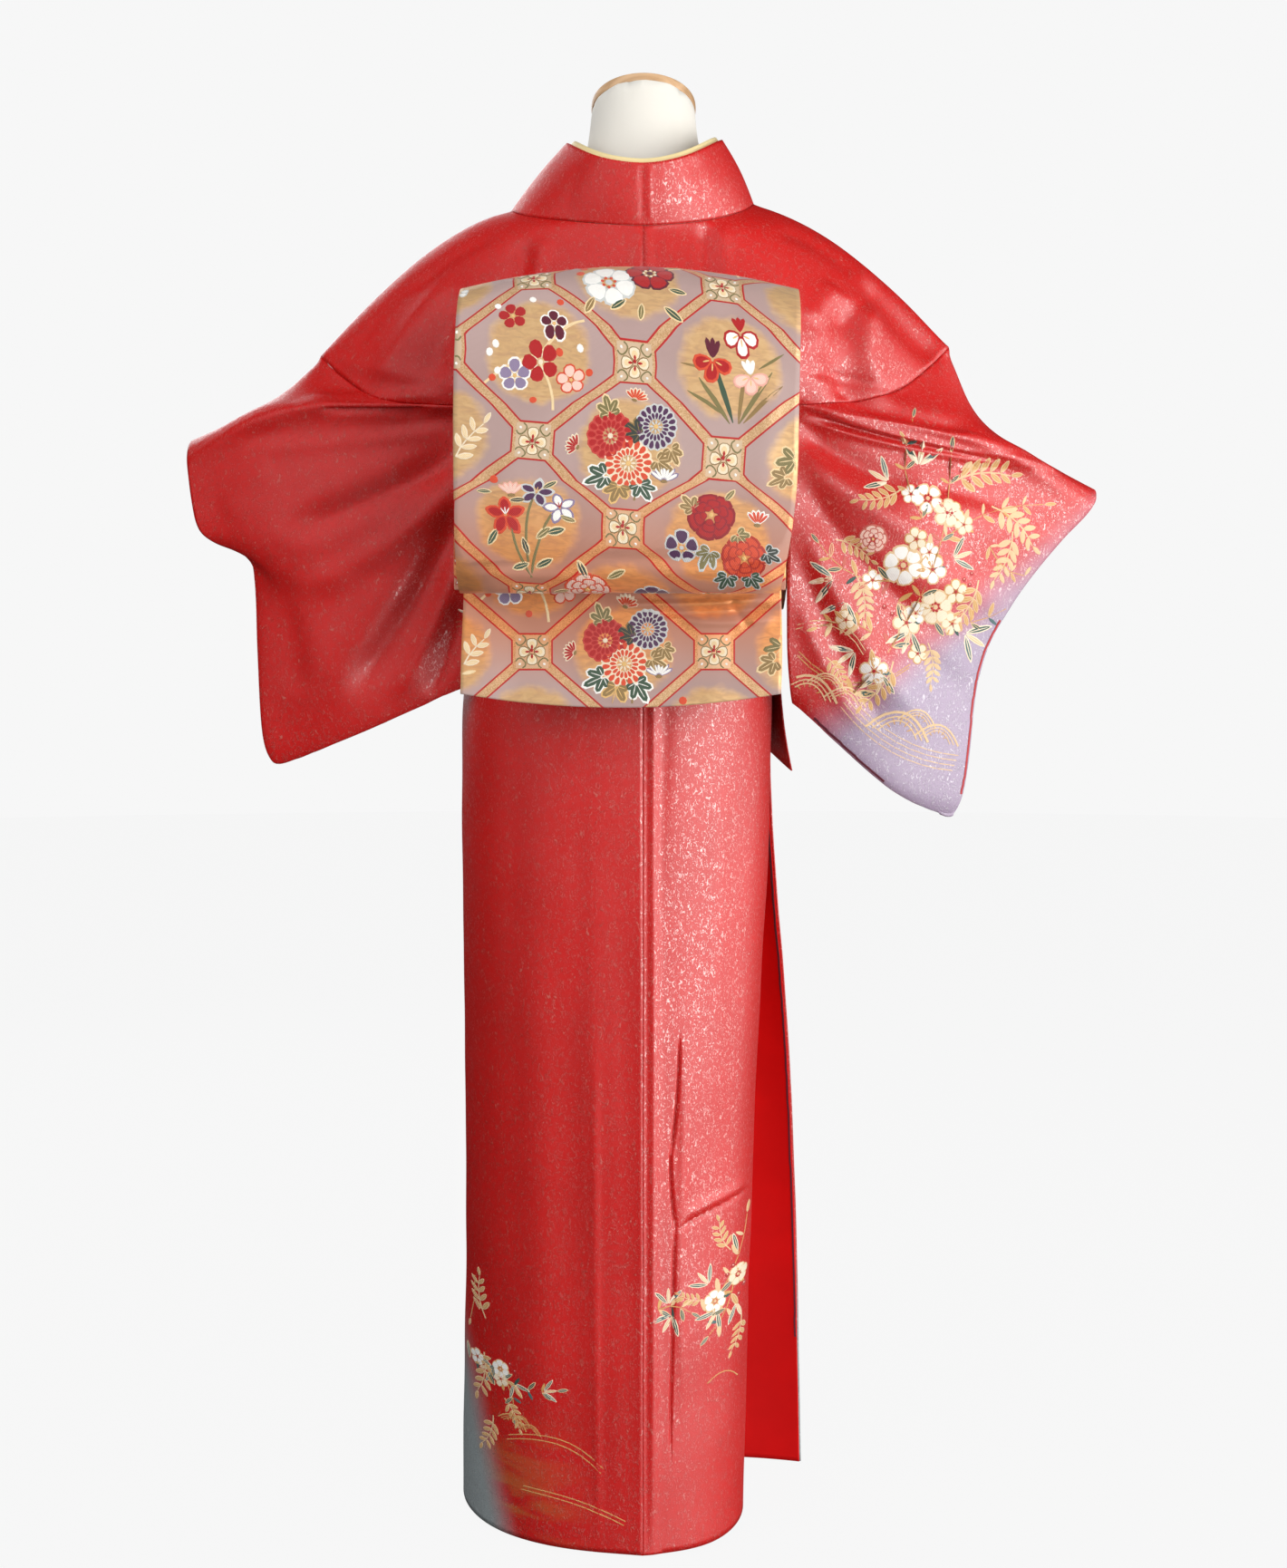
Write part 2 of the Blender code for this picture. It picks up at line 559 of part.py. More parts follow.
def face_outward(mesh, axis_x, axis_y):
    """Turn all faces so that the sheet looks away from an upright axis."""
    bmesh.ops.recalc_face_normals(mesh, faces=mesh.faces)
    total = 0.0
    for face in mesh.faces:
        centre = face.calc_center_median()
        away = Vector((centre.x - axis_x, centre.y - axis_y, 0))
        total += face.normal.dot(away) * face.calc_area()
    if total < 0:
        bmesh.ops.reverse_faces(mesh, faces=mesh.faces)


def sheet(name, rows, finish, wall=CLOTH_WALL, axis=(0.0, 0.0)):
    """A cloth piece: a grid of points on its outside, thickened inwards."""
    mesh, _ = grid_mesh(rows)
    face_outward(mesh, *axis)
    thing = add_object(name, mesh, finish)
    thicken(thing, wall)
    return thing


def thicken(thing, wall):
    """Give a sheet its wall, on its inner side."""
    solidify = thing.modifiers.new("wall", "SOLIDIFY")
    solidify.thickness = wall
    solidify.offset = -1


def station_point(name):
    """Seam point of one collar station."""
    row = next(row for row in COLLAR_STATIONS if row.name == name)
    return Vector((row.seam_x, row.seam_y, row.seam_z))


def armhole_curve(armhole):
    """Points of a whole armhole seam: up the back, over the shoulder and down the front."""
    back = [Vector((row.x, row.y, row.z)) for row in armhole]
    front = [Vector((point.x, -point.y, point.z)) for point in back[-2::-1]]
    return back + front


def fit_seam(rows, places, steps, curve, column, toward, gap):
    """Lay one column of a refined grid beside a seam curve, gap off it in the direction toward gives."""
    for index, row in enumerate(rows):
        low = index // steps
        share = index / steps - low
        start = places[low]
        end = places[low + 1] if share else start
        if start is None or end is None:
            continue
        place = start + (end - start) * share
        run = along(curve, min(place + 0.1, len(curve) - 1)) - along(curve, max(place - 0.1, 0))
        run.normalize()
        away = toward(place)
        away = (away - run * away.dot(run)).normalized() * gap
        row[column] = along(curve, place) + away


def sleeve_side(side):
    """Direction from the armhole seam into the sleeve."""
    return Vector((side * 0.4, 0, -0.9))


def below_collar(place):
    """Direction from the collar seam into the bodice."""
    return collar_point(place, 0) - collar_point(place, 1)


def pulled_in(points, start=0.0, end=0.0):
    """Shorten a row of points at its ends, to leave the seam gap."""
    row = list(points)
    if start:
        row[0] = row[0] + (row[1] - row[0]).normalized() * start
    if end:
        row[-1] = row[-1] + (row[-2] - row[-1]).normalized() * end
    return row


def front_turn(height, x):
    """Turn of the front point of the worn body that lies at x."""
    ring = between(BODY_RINGS, height)
    half = ring.right if x >= 0 else ring.left
    side = min(abs(x) / half, 1.0) ** (ROUNDNESS / 2)
    turn = 180 - math.degrees(math.asin(side))
    return turn if x >= 0 else 360 - turn


def make_bodice(name, sections, armhole, right, folds):
    """One half of the kimono body above the waist, back to front over the shoulder."""
    layer = UNDER if right else OVER
    middle_back = 0 if right else 360
    side = 1 if right else -1
    rows = []
    for hidden in reversed(HIDDEN_SECTIONS):
        side_turn = middle_back + side * hidden.side_turn
        row = ring_row(hidden.z, middle_back, side_turn, BODICE_COLUMNS)
        rows.append(pulled_in(row, SEAM_GAP, SEAM_GAP))
    for section in sections:
        inner = Vector((side * SEAM_GAP, section.inner_y, section.inner_z))
        if section.station:
            inner = station_point(section.station)
        knee = Vector((section.knee_x, section.knee_y, section.knee_z))
        outer = along(armhole_curve(armhole), section.armhole)
        rows.append(arc(inner, knee, outer, BODICE_COLUMNS))
    for hidden in HIDDEN_SECTIONS:
        edge_x = -side * (BODICE_CROSSING_Z - hidden.z) * FRONT_EDGE_SLOPE
        edge_turn = front_turn(hidden.z, edge_x)
        side_turn = 180 - hidden.side_turn if right else 180 + hidden.side_turn
        row = ring_row(hidden.z, edge_turn, side_turn, BODICE_COLUMNS, layer)
        rows.append(pulled_in(row, SEAM_GAP, SEAM_GAP))
    none = [None] * len(HIDDEN_SECTIONS)
    places = none + [section.armhole for section in sections] + none
    names = [row.name for row in COLLAR_STATIONS]
    shown = [names.index(section.station) if section.station else None for section in sections]
    stations = none + shown + none
    rows = folded(refine(rows, BODICE_STEPS), folds)
    seam = armhole_curve(armhole)
    fit_seam(rows, places, BODICE_STEPS, seam, -1, lambda place: -sleeve_side(side), ARMHOLE_GAP)
    collar_seam = [station_point(station) for station in names]
    fit_seam(rows, stations, BODICE_STEPS, collar_seam, 0, below_collar, COLLAR_GAP)
    for row in rows:
        if row[0].y < 0 and side * row[0].x < 0.02:
            row[0].x = side * max(side * row[0].x, SEAM_GAP)
    return sheet(name, rows, CLOTH_FINISH, axis=(side * 0.08, 0.0))


def ring_row(height, turn_from, turn_to, columns, out=0.0):
    """Row of points round the worn body at one height."""
    return [
        body_point(height, turn_from + (turn_to - turn_from) * share / columns, out)
        for share in range(columns + 1)
    ]


def collar_point(place, across, out=0.0):
    """Point on the collar: place counts stations, across goes from the seam (0) to the top edge (1)."""
    def surface(at, share):
        seam = along([Vector((row.seam_x, row.seam_y, row.seam_z)) for row in COLLAR_STATIONS], at)
        top = along([Vector((row.top_x, row.top_y, row.top_z)) for row in COLLAR_STATIONS], at)
        return seam + (top - seam) * share

    here = surface(place, across)
    run = surface(min(place + 0.05, COLLAR_LAST), across) - surface(max(place - 0.05, 0), across)
    rise = surface(place, 1) - surface(place, 0)
    outward = rise.cross(run).normalized()
    if outward.dot(Vector((here.x, here.y, 0))) < 0:
        outward = -outward
    bulge = COLLAR_BULGE * 4 * across * (1 - across) * collar_roundness(place)
    return here + outward * (out + bulge)


def collar_roundness(place):
    """Share of the collar's bulge, which goes flat where the fronts cross."""
    return smooth((place - 3) / 3) * smooth((COLLAR_LAST - 3 - place) / 3)


def make_collar():
    """Collar band and the thin strip that shows inside its top edge."""
    steps = COLLAR_LAST * 2
    rows = []
    for index in range(steps + 1):
        place = COLLAR_LAST * index / steps
        row = [collar_point(place, across / 3) for across in range(4)]
        rows.append(pulled_in(row, SEAM_GAP))
    sheet("collar", rows, CLOTH_FINISH, COLLAR_WALL)
    strip = []
    for index in range(STRIP_STEPS + 1):
        place = STRIP_FROM + (STRIP_TO - STRIP_FROM) * index / STRIP_STEPS
        strip.append([
            collar_point(place, across, -COLLAR_WALL - STRIP_GAP)
            for across in (STRIP_LOW, (STRIP_LOW + STRIP_HIGH) / 2, STRIP_HIGH)
        ])
    sheet("kasane_eri", strip, (STRIP_GOLD, 0.4), STRIP_WALL)


def sleeve_walls(table, armhole):
    """Control rows of a sleeve, up its back from the bottom, over the top fold and down its front."""
    curve = armhole_curve(armhole)
    back, front = [], []
    for row in table:
        inner = Vector((row.ix, row.iy, row.iz))
        inner_front = inner + Vector((row.shift, row.gap_i, 0))
        if row.armhole is not None:
            inner = along(curve, row.armhole)
            inner_front = along(curve, 10 - row.armhole)
        knee = Vector((row.kx, row.ky, row.kz))
        outer = Vector((row.ox, row.oy, row.oz))
        back.append(spread([inner, knee, outer], SLEEVE_COLUMNS))
        ahead = [inner_front, knee + Vector((0, row.gap_k, 0)), outer + Vector((0, row.gap_o, 0))]
        front.append(spread(ahead, SLEEVE_COLUMNS))
    places = [row.armhole for row in reversed(table)]
    places += [10 - row.armhole if row.armhole is not None else None for row in table[1:]]
    return back[::-1] + front[1:], places


def make_sleeve(name, table, armhole, folds):
    """Sleeve bag: open at the armhole, the inner edge and the wrist, sewn along the outer edge and bottom."""
    rows, places = sleeve_walls(table, armhole)
    rows = folded(refine(rows, SLEEVE_STEPS), folds)
    side = math.copysign(1, armhole[0].x)
    seam = armhole_curve(armhole)
    fit_seam(rows, places, SLEEVE_STEPS, seam, 0, lambda place: sleeve_side(side), ARMHOLE_GAP)
    mesh = bmesh.new()
    corners = [[mesh.verts.new(point) for point in row] for row in rows[:-1]]
    corners.append(corners[0])
    for low, high in zip(corners, corners[1:]):
        for index in range(len(low) - 1):
            mesh.faces.new((low[index], low[index + 1], high[index + 1], high[index]))
    sewn = sum(1 for row in table if not row.opening) - 1
    for index in range(sewn * SLEEVE_STEPS):
        low_back, high_back = corners[index][-1], corners[index + 1][-1]
        low_front, high_front = corners[-1 - index][-1], corners[-2 - index][-1]
        if low_back is low_front:
            mesh.faces.new((low_back, high_front, high_back))
        else:
            mesh.faces.new((low_back, low_front, high_front, high_back))
    bmesh.ops.recalc_face_normals(mesh, faces=mesh.faces)
    middle = sum((vert.co for vert in mesh.verts), Vector()) / len(mesh.verts)
    inward = sum(face.normal.y * (face.calc_center_median().y - middle.y) for face in mesh.faces)
    if inward < 0:
        bmesh.ops.reverse_faces(mesh, faces=mesh.faces)
    thicken(add_object(name, mesh, CLOTH_FINISH), CLOTH_WALL)


def front_path(height, share, out):
    """Point of the outer front: share 0 at the left side seam, 0.5 at the middle, 1 at the free edge."""
    if share <= 0.5:
        turn = LEFT_SIDE_SEAM + (180 - LEFT_SIDE_SEAM) * share * 2
        return body_point(height, turn, out * smooth(share * 4) + free_swell(height, share))
    edge = between(FREE_EDGE, height)
    t = share * 2 - 1
    tight = body_point(height, 180 + (RIGHT_WRAP_END - 180) * t, out)
    bend_y = edge.front
    loose = Vector((2 * t * (1 - t) * edge.bend_x + t * t * edge.x,
                    ((1 - t) ** 2 + 2 * t * (1 - t)) * bend_y + t * t * edge.y, height))
    free = smooth((EDGE_TIGHT_ABOVE - height) / (EDGE_TIGHT_ABOVE - EDGE_FREE_BELOW))
    return tight + (loose - tight) * free


def free_swell(height, share):
    """Extra distance of the left half of the outer front, which leads up to the free half."""
    ring = between(BODY_RINGS, height)
    edge = between(FREE_EDGE, height)
    free = smooth((EDGE_TIGHT_ABOVE - height) / (EDGE_TIGHT_ABOVE - EDGE_FREE_BELOW))
    return free * (edge.front - ring.front - SKIRT_OVER) * smooth(share * 2) ** 2



def make_skirt():
    """Back panels, the under front with its overlap panel, and the outer front with its own and lining."""
    back_left = [back_row(z, 360, LEFT_SIDE_SEAM, BACK_LEFT_COLUMNS) for z in SKIRT_LEVELS]
    sheet("skirt_back_left", folded(back_left, LEFT_SKIRT_FOLDS), CLOTH_FINISH)
    back_right = [back_row(z, 0, RIGHT_SIDE_SEAM, BACK_RIGHT_COLUMNS) for z in SKIRT_LEVELS]
    sheet("skirt_back_right", folded(back_right, RIGHT_SKIRT_FOLDS), CLOTH_FINISH)

    under_front = [under_row(z, RIGHT_SIDE_SEAM, RIGHT_FRONT_END, UNDER_COLUMNS) for z in SKIRT_LEVELS]
    sheet("skirt_front_right", under_front, CLOTH_FINISH)
    under_okumi = [under_row(z, RIGHT_FRONT_END, RIGHT_OKUMI_END, UNDER_COLUMNS) for z in SKIRT_LEVELS]
    sheet("okumi_right", under_okumi, CLOTH_FINISH)

    outer_front = [over_row(z, 0, OKUMI_SEAM_SHARE, FRONT_LEFT_COLUMNS) for z in SKIRT_LEVELS]
    sheet("skirt_front_left", outer_front, CLOTH_FINISH)
    okumi = [over_row(z, OKUMI_SEAM_SHARE, 1, OKUMI_LEFT_COLUMNS) for z in SKIRT_LEVELS]
    sheet("okumi_left", okumi, CLOTH_FINISH, axis=(0.0, -0.2))
    lining = [
        pulled_in(inward_rows(row, CLOTH_WALL + LINING_GAP), SEAM_GAP, LINING_INSET)
        for row, z in zip(okumi, SKIRT_LEVELS) if z <= LINING_TOP_Z
    ]
    sheet("okumi_left_lining", lining, (LINING_RED, 0.5), STRIP_WALL, axis=(0.0, -0.2))


def back_row(height, turn_from, turn_to, columns):
    """Row of a back panel, from the middle seam to the side seam."""
    return pulled_in(ring_row(height, turn_from, turn_to, columns), RIDGE_GAP, SEAM_GAP)


def under_row(height, turn_from, turn_to, columns):
    """Row of the under front, which sinks below the outer layers past the right side seam."""
    row = []
    for index in range(columns + 1):
        turn = turn_from + (turn_to - turn_from) * index / columns
        row.append(body_point(height, turn, UNDER * smooth((turn - RIGHT_SIDE_SEAM) / 30)))
    return pulled_in(row, SEAM_GAP, SEAM_GAP)


def over_row(height, share_from, share_to, columns):
    """Row of the outer front."""
    row = [
        front_path(height, share_from + (share_to - share_from) * index / columns, SKIRT_OVER)
        for index in range(columns + 1)
    ]
    return pulled_in(row, SEAM_GAP, SEAM_GAP)


def inward_rows(row, depth):
    """Row of points moved toward the body, square to the row in plan."""
    moved = []
    for index, point in enumerate(row):
        run = row[min(index + 1, len(row) - 1)] - row[max(index - 1, 0)]
        inward = Vector((run.y, -run.x, 0)).normalized()
        if inward.y > 0:
            inward = -inward
        moved.append(point + inward * depth)
    return moved


def make_tuck():
    """Tuck of cloth folded down from under the obi, back and front."""
    back, front = [], []
    back_turns = spaced(-TUCK_LEFT_SEAM, TUCK_RIGHT_SEAM, TUCK_COLUMNS)
    front_turns = spaced(TUCK_RIGHT_SEAM, 360 - TUCK_LEFT_SEAM, TUCK_COLUMNS)
    for share in spaced(0, 1, TUCK_LEVELS):
        back.append([tuck_point(turn, TUCK_BACK_Z, share, 0) for turn in back_turns])
        row = []
        for turn in front_turns:
            to_right = smooth((200 - turn) / (200 - TUCK_RIGHT_SEAM))
            bottom = TUCK_FRONT_Z + (TUCK_TAB_Z - TUCK_FRONT_Z) * to_right
            row.append(tuck_point(turn, bottom, share, TUCK_TAB_OUT * to_right))
        front.append(row)
    for name, rows in (("ohashori_back", back), ("ohashori_front", front)):
        sheet(name, [pulled_in(row, SEAM_GAP, SEAM_GAP) for row in rows], CLOTH_FINISH, TUCK_WALL)


def spaced(start, end, count):
    """Evenly spaced values with both ends."""
    return [start + (end - start) * index / count for index in range(count + 1)]


def tuck_point(turn, bottom, share, flare):
    """Point of the tuck: share 0 at its top, 1 at its bottom edge."""
    height = TUCK_TOP_Z + (bottom - TUCK_TOP_Z) * share
    return body_point(height, turn % 360, TUCK_OUT + flare * share ** 3)


def make_obi():
    """Band round the waist, the drum behind it, the flap below and the end that passes through."""
    mesh = bmesh.new()
    turns = [360 * index / BAND_COLUMNS for index in range(BAND_COLUMNS)]
    levels = spaced(OBI_BOTTOM_Z, OBI_TOP_Z, BAND_LEVELS)
    ring_faces(mesh, [[body_point(z, turn, OBI_OUT) for turn in turns] for z in levels])
    face_outward(mesh, 0.0, 0.0)
    thicken(add_object("obi_band", mesh, OBI_FINISH), OBI_WALL)

    drum = refine([drum_row(bend) for bend in DRUM_PATH], DRUM_STEPS)
    drum_mesh, _ = grid_mesh(drum)
    bmesh.ops.recalc_face_normals(drum_mesh, faces=drum_mesh.faces)
    facing = sum(face.normal.y for face in drum_mesh.faces if face.calc_center_median().y < DRUM_BACK_Y)
    if facing > 0:
        bmesh.ops.reverse_faces(drum_mesh, faces=drum_mesh.faces)
    thicken(add_object("obi_taiko", drum_mesh, OBI_FINISH), OBI_WALL)

    flap = []
    for bend in FLAP_PATH:
        low_share = smooth((0.93 - bend.z) / 0.1)
        flap.append([
            Vector((x, bend.y, bend.z + FLAP_SAG * low_share * middle_dip(x, bend.left, bend.right)))
            for x in spaced(bend.left, bend.right, FLAP_COLUMNS)
        ])
    sheet("obi_tare", refine(flap, DRUM_STEPS), OBI_FINISH, OBI_WALL, axis=(-0.02, 0.2))

    hand = bmesh.new()
    bmesh.ops.create_cube(hand, size=1.0)
    middle_x = (HAND_END_LEFT + HAND_END_RIGHT) / 2
    middle_z = (HAND_END_BOTTOM + HAND_END_TOP) / 2
    bmesh.ops.scale(hand, verts=hand.verts,
                    vec=(HAND_END_RIGHT - HAND_END_LEFT, HAND_END_THICK, HAND_END_TOP - HAND_END_BOTTOM))
    bmesh.ops.translate(hand, verts=hand.verts, vec=(middle_x, HAND_END_MIDDLE_Y, middle_z))
    bmesh.ops.bevel(hand, geom=hand.edges, offset=0.002, segments=2, profile=0.5, affect="EDGES", material=-1)
    add_object("obi_te", hand, OBI_FINISH)


def middle_dip(x, left, right):
    """0 in the middle of a width, 1 at its ends."""
    share = (x - left) / (right - left) * 2 - 1
    return share * share


def drum_row(bend):
    """Cross row of the drum at one bend of its path."""
    row = []
    for x in spaced(bend.left, bend.right, DRUM_COLUMNS):
        drop = DRUM_CROWN * bend.crown * middle_dip(x, bend.left, bend.right)
        row.append(Vector((x, bend.y, bend.z - drop)))
    return row


def ring_faces(mesh, rings):
    """Join closed rings of points with quads, and give back their corners."""
    corners = [[mesh.verts.new(point) for point in ring] for ring in rings]
    for low, high in zip(corners, corners[1:]):
        for index in range(len(low)):
            after = (index + 1) % len(low)
            mesh.faces.new((low[index], low[after], high[after], high[index]))
    return corners


def form_ring(row):
    """One ring of the dress form's upper part; the neck's top leans back to front."""
    ring = []
    neck_share = (row.z - NECK_TILT_FROM_Z) / (FORM_SHOULDERS[-1].z - NECK_TILT_FROM_Z)
    lean = math.tan(NECK_TILT) * smooth(neck_share)
    for index in range(FORM_COLUMNS):
        turn = math.radians(360 * index / FORM_COLUMNS)
        deep = row.back if math.cos(turn) > 0 else row.front
        y = -deep * math.cos(turn)
        ring.append(Vector((row.half * math.sin(turn), y, row.z - y * lean)))
    return ring


def make_form():
    """Torso with its neck, wooden neck cap, pole and base."""
    turns = [360 * index / FORM_COLUMNS for index in range(FORM_COLUMNS)]
    rings = []
    for z in FORM_LEVELS:
        slack = FORM_WAIST_SLACK if FORM_WAIST_FROM <= z <= FORM_WAIST_TO else FORM_SLACK
        rings.append([body_point(z, turn, -slack) for turn in turns])
    for share, ring in zip(FORM_FOOT_SHARES, rings):
        centre = Vector((0, 0, ring[0].z))
        for index, point in enumerate(ring):
            ring[index] = centre + (point - centre) * share
    rings += [form_ring(row) for row in FORM_SHOULDERS]
    mesh = bmesh.new()
    corners = ring_faces(mesh, rings)
    mesh.faces.new(corners[0][::-1])
    mesh.faces.new(corners[-1])
    bmesh.ops.recalc_face_normals(mesh, faces=mesh.faces)
    add_object("form_torso", mesh, ((0.86, 0.82, 0.70), 0.8))

    top = FORM_SHOULDERS[-1].z
    cap = add_object("form_neck_cap", disc(CAP_RADIUS, CAP_THICK, 28, 0.002), ((0.55, 0.36, 0.20), 0.5))
    cap.location = (0, 0, top + CAP_GAP / math.cos(NECK_TILT))
    cap.rotation_euler = (-NECK_TILT, 0, 0)
    pole_height = FORM_BOTTOM_Z - BASE_THICK - 2 * LAYER_GAP
    pole = add_object("form_pole", disc(POLE_RADIUS, pole_height, 20, 0), ((0.7, 0.7, 0.7), 0.3, 1.0))
    pole.location = (0, 0, BASE_THICK + LAYER_GAP)
    add_object("form_base", disc(BASE_RADIUS, BASE_THICK, 32, 0.002), ((0.15, 0.15, 0.15), 0.4, 1.0))


def disc(radius, thick, sides, edge):
    """Upright cylinder standing on z = 0, its rims rounded by edge."""
    mesh = bmesh.new()
    bmesh.ops.create_cone(mesh, cap_ends=True, segments=sides, radius1=radius, radius2=radius, depth=thick)
    bmesh.ops.translate(mesh, verts=mesh.verts, vec=(0, 0, thick / 2))
    if edge:
        rims = [e for e in mesh.edges if abs(e.verts[0].co.z - e.verts[1].co.z) < 1e-6]
        bmesh.ops.bevel(mesh, geom=rims, offset=edge, segments=2, profile=0.5, affect="EDGES", material=-1)
    return mesh


def main():
    """Build every piece of the kimono, its obi and its form."""
    for thing in list(bpy.data.objects):
        bpy.data.objects.remove(thing, do_unlink=True)
    make_form()
    make_bodice("bodice_right", RIGHT_BODICE, RIGHT_ARMHOLE, True, RIGHT_BODICE_FOLDS)
    make_bodice("bodice_left", LEFT_BODICE, LEFT_ARMHOLE, False, LEFT_BODICE_FOLDS)
    make_collar()
    make_sleeve("sleeve_right", RIGHT_SLEEVE, RIGHT_ARMHOLE, RIGHT_SLEEVE_FOLDS)
    make_sleeve("sleeve_left", LEFT_SLEEVE, LEFT_ARMHOLE, LEFT_SLEEVE_FOLDS)
    make_skirt()
    make_tuck()
    make_obi()


main()
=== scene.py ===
# %% [markdown]
# # A homongi kimono on its form, seen from behind
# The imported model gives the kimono's walls in their true places. This lesson loads it, keeps its box, and
# then makes each wall again as soft silk: rounded, creased, dyed, woven and embroidered.

# %% Load the frame
import math
from collections import namedtuple

import bmesh
import bpy
import numpy as np
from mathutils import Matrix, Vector, noise
from mathutils.bvhtree import BVHTree
from mathutils.kdtree import KDTree


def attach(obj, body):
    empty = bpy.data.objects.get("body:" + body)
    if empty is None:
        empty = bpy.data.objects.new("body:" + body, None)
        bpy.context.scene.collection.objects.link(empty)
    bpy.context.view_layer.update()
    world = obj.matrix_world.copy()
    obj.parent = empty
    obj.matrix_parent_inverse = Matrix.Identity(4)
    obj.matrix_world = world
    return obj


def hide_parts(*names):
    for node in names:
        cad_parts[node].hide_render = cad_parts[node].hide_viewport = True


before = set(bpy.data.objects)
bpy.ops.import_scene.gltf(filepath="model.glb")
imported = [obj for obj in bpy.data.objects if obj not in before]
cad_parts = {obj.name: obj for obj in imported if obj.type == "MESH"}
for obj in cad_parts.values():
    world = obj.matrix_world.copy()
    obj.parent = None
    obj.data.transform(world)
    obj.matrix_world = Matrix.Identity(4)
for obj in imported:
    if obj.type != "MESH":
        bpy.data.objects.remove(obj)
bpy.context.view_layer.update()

# %% [markdown]
# ## Camera, floor and light
# The photo was taken from behind, at about waist height and 2.2 m away, with the window on the right.
# Three large soft lamps in a curve on the right give the bright right half. A lamp without any shine
# fills the left half, one above lifts the shoulders, one lights the front, and a pale world fills the
# shadows.

# %% Stand the camera where the photo was taken
CAMERA_PLACE = (0.0, -2.20, 0.854)
CAMERA_PITCH = 90 - 2.74
LENS_MM = 50
SENSOR_MM = 36

camera_data = bpy.data.cameras.new("camera")
camera_data.lens = LENS_MM
camera_data.sensor_width = SENSOR_MM
camera = bpy.data.objects.new("camera", camera_data)
camera.location = CAMERA_PLACE
camera.rotation_euler = (math.radians(CAMERA_PITCH), 0, 0)
bpy.context.scene.collection.objects.link(camera)
bpy.context.scene.camera = camera


# %% Set the lamps and the pale world
def lamp(name, place, target, size, power, colour=(1, 1, 1), mirrored=True):
    """Area lamp of a width and height that looks at a point. A lamp that is not mirrored makes no shine."""
    data = bpy.data.lights.new(name, "AREA")
    data.shape = "RECTANGLE"
    data.size, data.size_y = size
    data.energy = power
    data.color = colour
    light = bpy.data.objects.new(name, data)
    light.location = place
    light.visible_glossy = mirrored
    light.rotation_euler = (Vector(target) - Vector(place)).to_track_quat("-Z", "Y").to_euler()
    bpy.context.scene.collection.objects.link(light)


WAIST = (0.05, -0.10, 0.80)
DAYLIGHT = (1.0, 0.99, 0.97)
lamp("window_behind", (1.49, -2.36, 0.85), WAIST, (1.8, 2.8), 58, DAYLIGHT)
lamp("window_side", (2.47, -1.21, 0.85), WAIST, (1.8, 2.8), 52, DAYLIGHT)
lamp("room_fill", (-2.0, -1.9, 1.9), WAIST, (2.5, 2.5), 46, mirrored=False)
lamp("window_far", (2.60, 0.45, 0.85), WAIST, (1.6, 2.8), 28, DAYLIGHT)
lamp("ceiling", (-0.5, -1.5, 3.3), WAIST, (1.8, 1.8), 26, mirrored=False)
lamp("front_fill", (-1.4, 2.6, 2.0), WAIST, (2.0, 2.0), 36)

WORLD_GREY = (0.95, 0.95, 0.95, 1)
WORLD_STRENGTH = 0.17
world = bpy.data.worlds.new("room")
world.use_nodes = True
air = world.node_tree.nodes["Background"]
air.inputs["Color"].default_value = WORLD_GREY
air.inputs["Strength"].default_value = WORLD_STRENGTH
world.cycles_visibility.glossy = False
bpy.context.scene.world = world
bpy.context.scene.view_settings.view_transform = "Standard"
print("Lamps", len(bpy.data.lights), "and camera", camera.name)

# %% [markdown]
# The floor is a wide pale disc, and a pale dome closes the room behind it. Both glow a little, so no
# horizon shows, and neither is mirrored in the silk.

# %% Make the floor and the dome
ROOM_RADIUS = 12.0
FLOOR_GREY = 0.015
FLOOR_GLOW = 0.915
DOME_GLOW = 0.93


def add_object(name, data):
    """Object with this mesh, put in the scene."""
    piece = bpy.data.objects.new(name, data)
    bpy.context.scene.collection.objects.link(piece)
    return piece


def pale(name, mesh, base, glow):
    """Stage piece that is plain and pale."""
    data = bpy.data.meshes.new(name)
    mesh.to_mesh(data)
    mesh.free()
    data.shade_smooth()
    paint = bpy.data.materials.new(name)
    paint.use_nodes = True
    surface = paint.node_tree.nodes["Principled BSDF"]
    surface.inputs["Base Color"].default_value = (base, base, base, 1)
    surface.inputs["Roughness"].default_value = 1.0
    surface.inputs["Specular IOR Level"].default_value = 0.0
    surface.inputs["Emission Color"].default_value = (1, 1, 1, 1)
    surface.inputs["Emission Strength"].default_value = glow
    data.materials.append(paint)
    thing = add_object(name, data)
    thing.visible_glossy = False
    thing.visible_diffuse = False
    thing.visible_shadow = False
    return thing


disc = bmesh.new()
bmesh.ops.create_circle(disc, cap_ends=True, segments=64, radius=ROOM_RADIUS)
pale("floor", disc, FLOOR_GREY, FLOOR_GLOW)
ball = bmesh.new()
bmesh.ops.create_uvsphere(ball, u_segments=48, v_segments=24, radius=ROOM_RADIUS)
dome = pale("dome", ball, 0.0, DOME_GLOW)
dome.visible_transmission = False
print("Room radius", ROOM_RADIUS, "m")

# %% [markdown]
# ## Shader maths as Python
# A silk's colour is a sum of small effects. A Wire stands for one socket and lets Python's own operators
# add the Math nodes, so the dye recipes further down read like the sentences that a dyer would say.


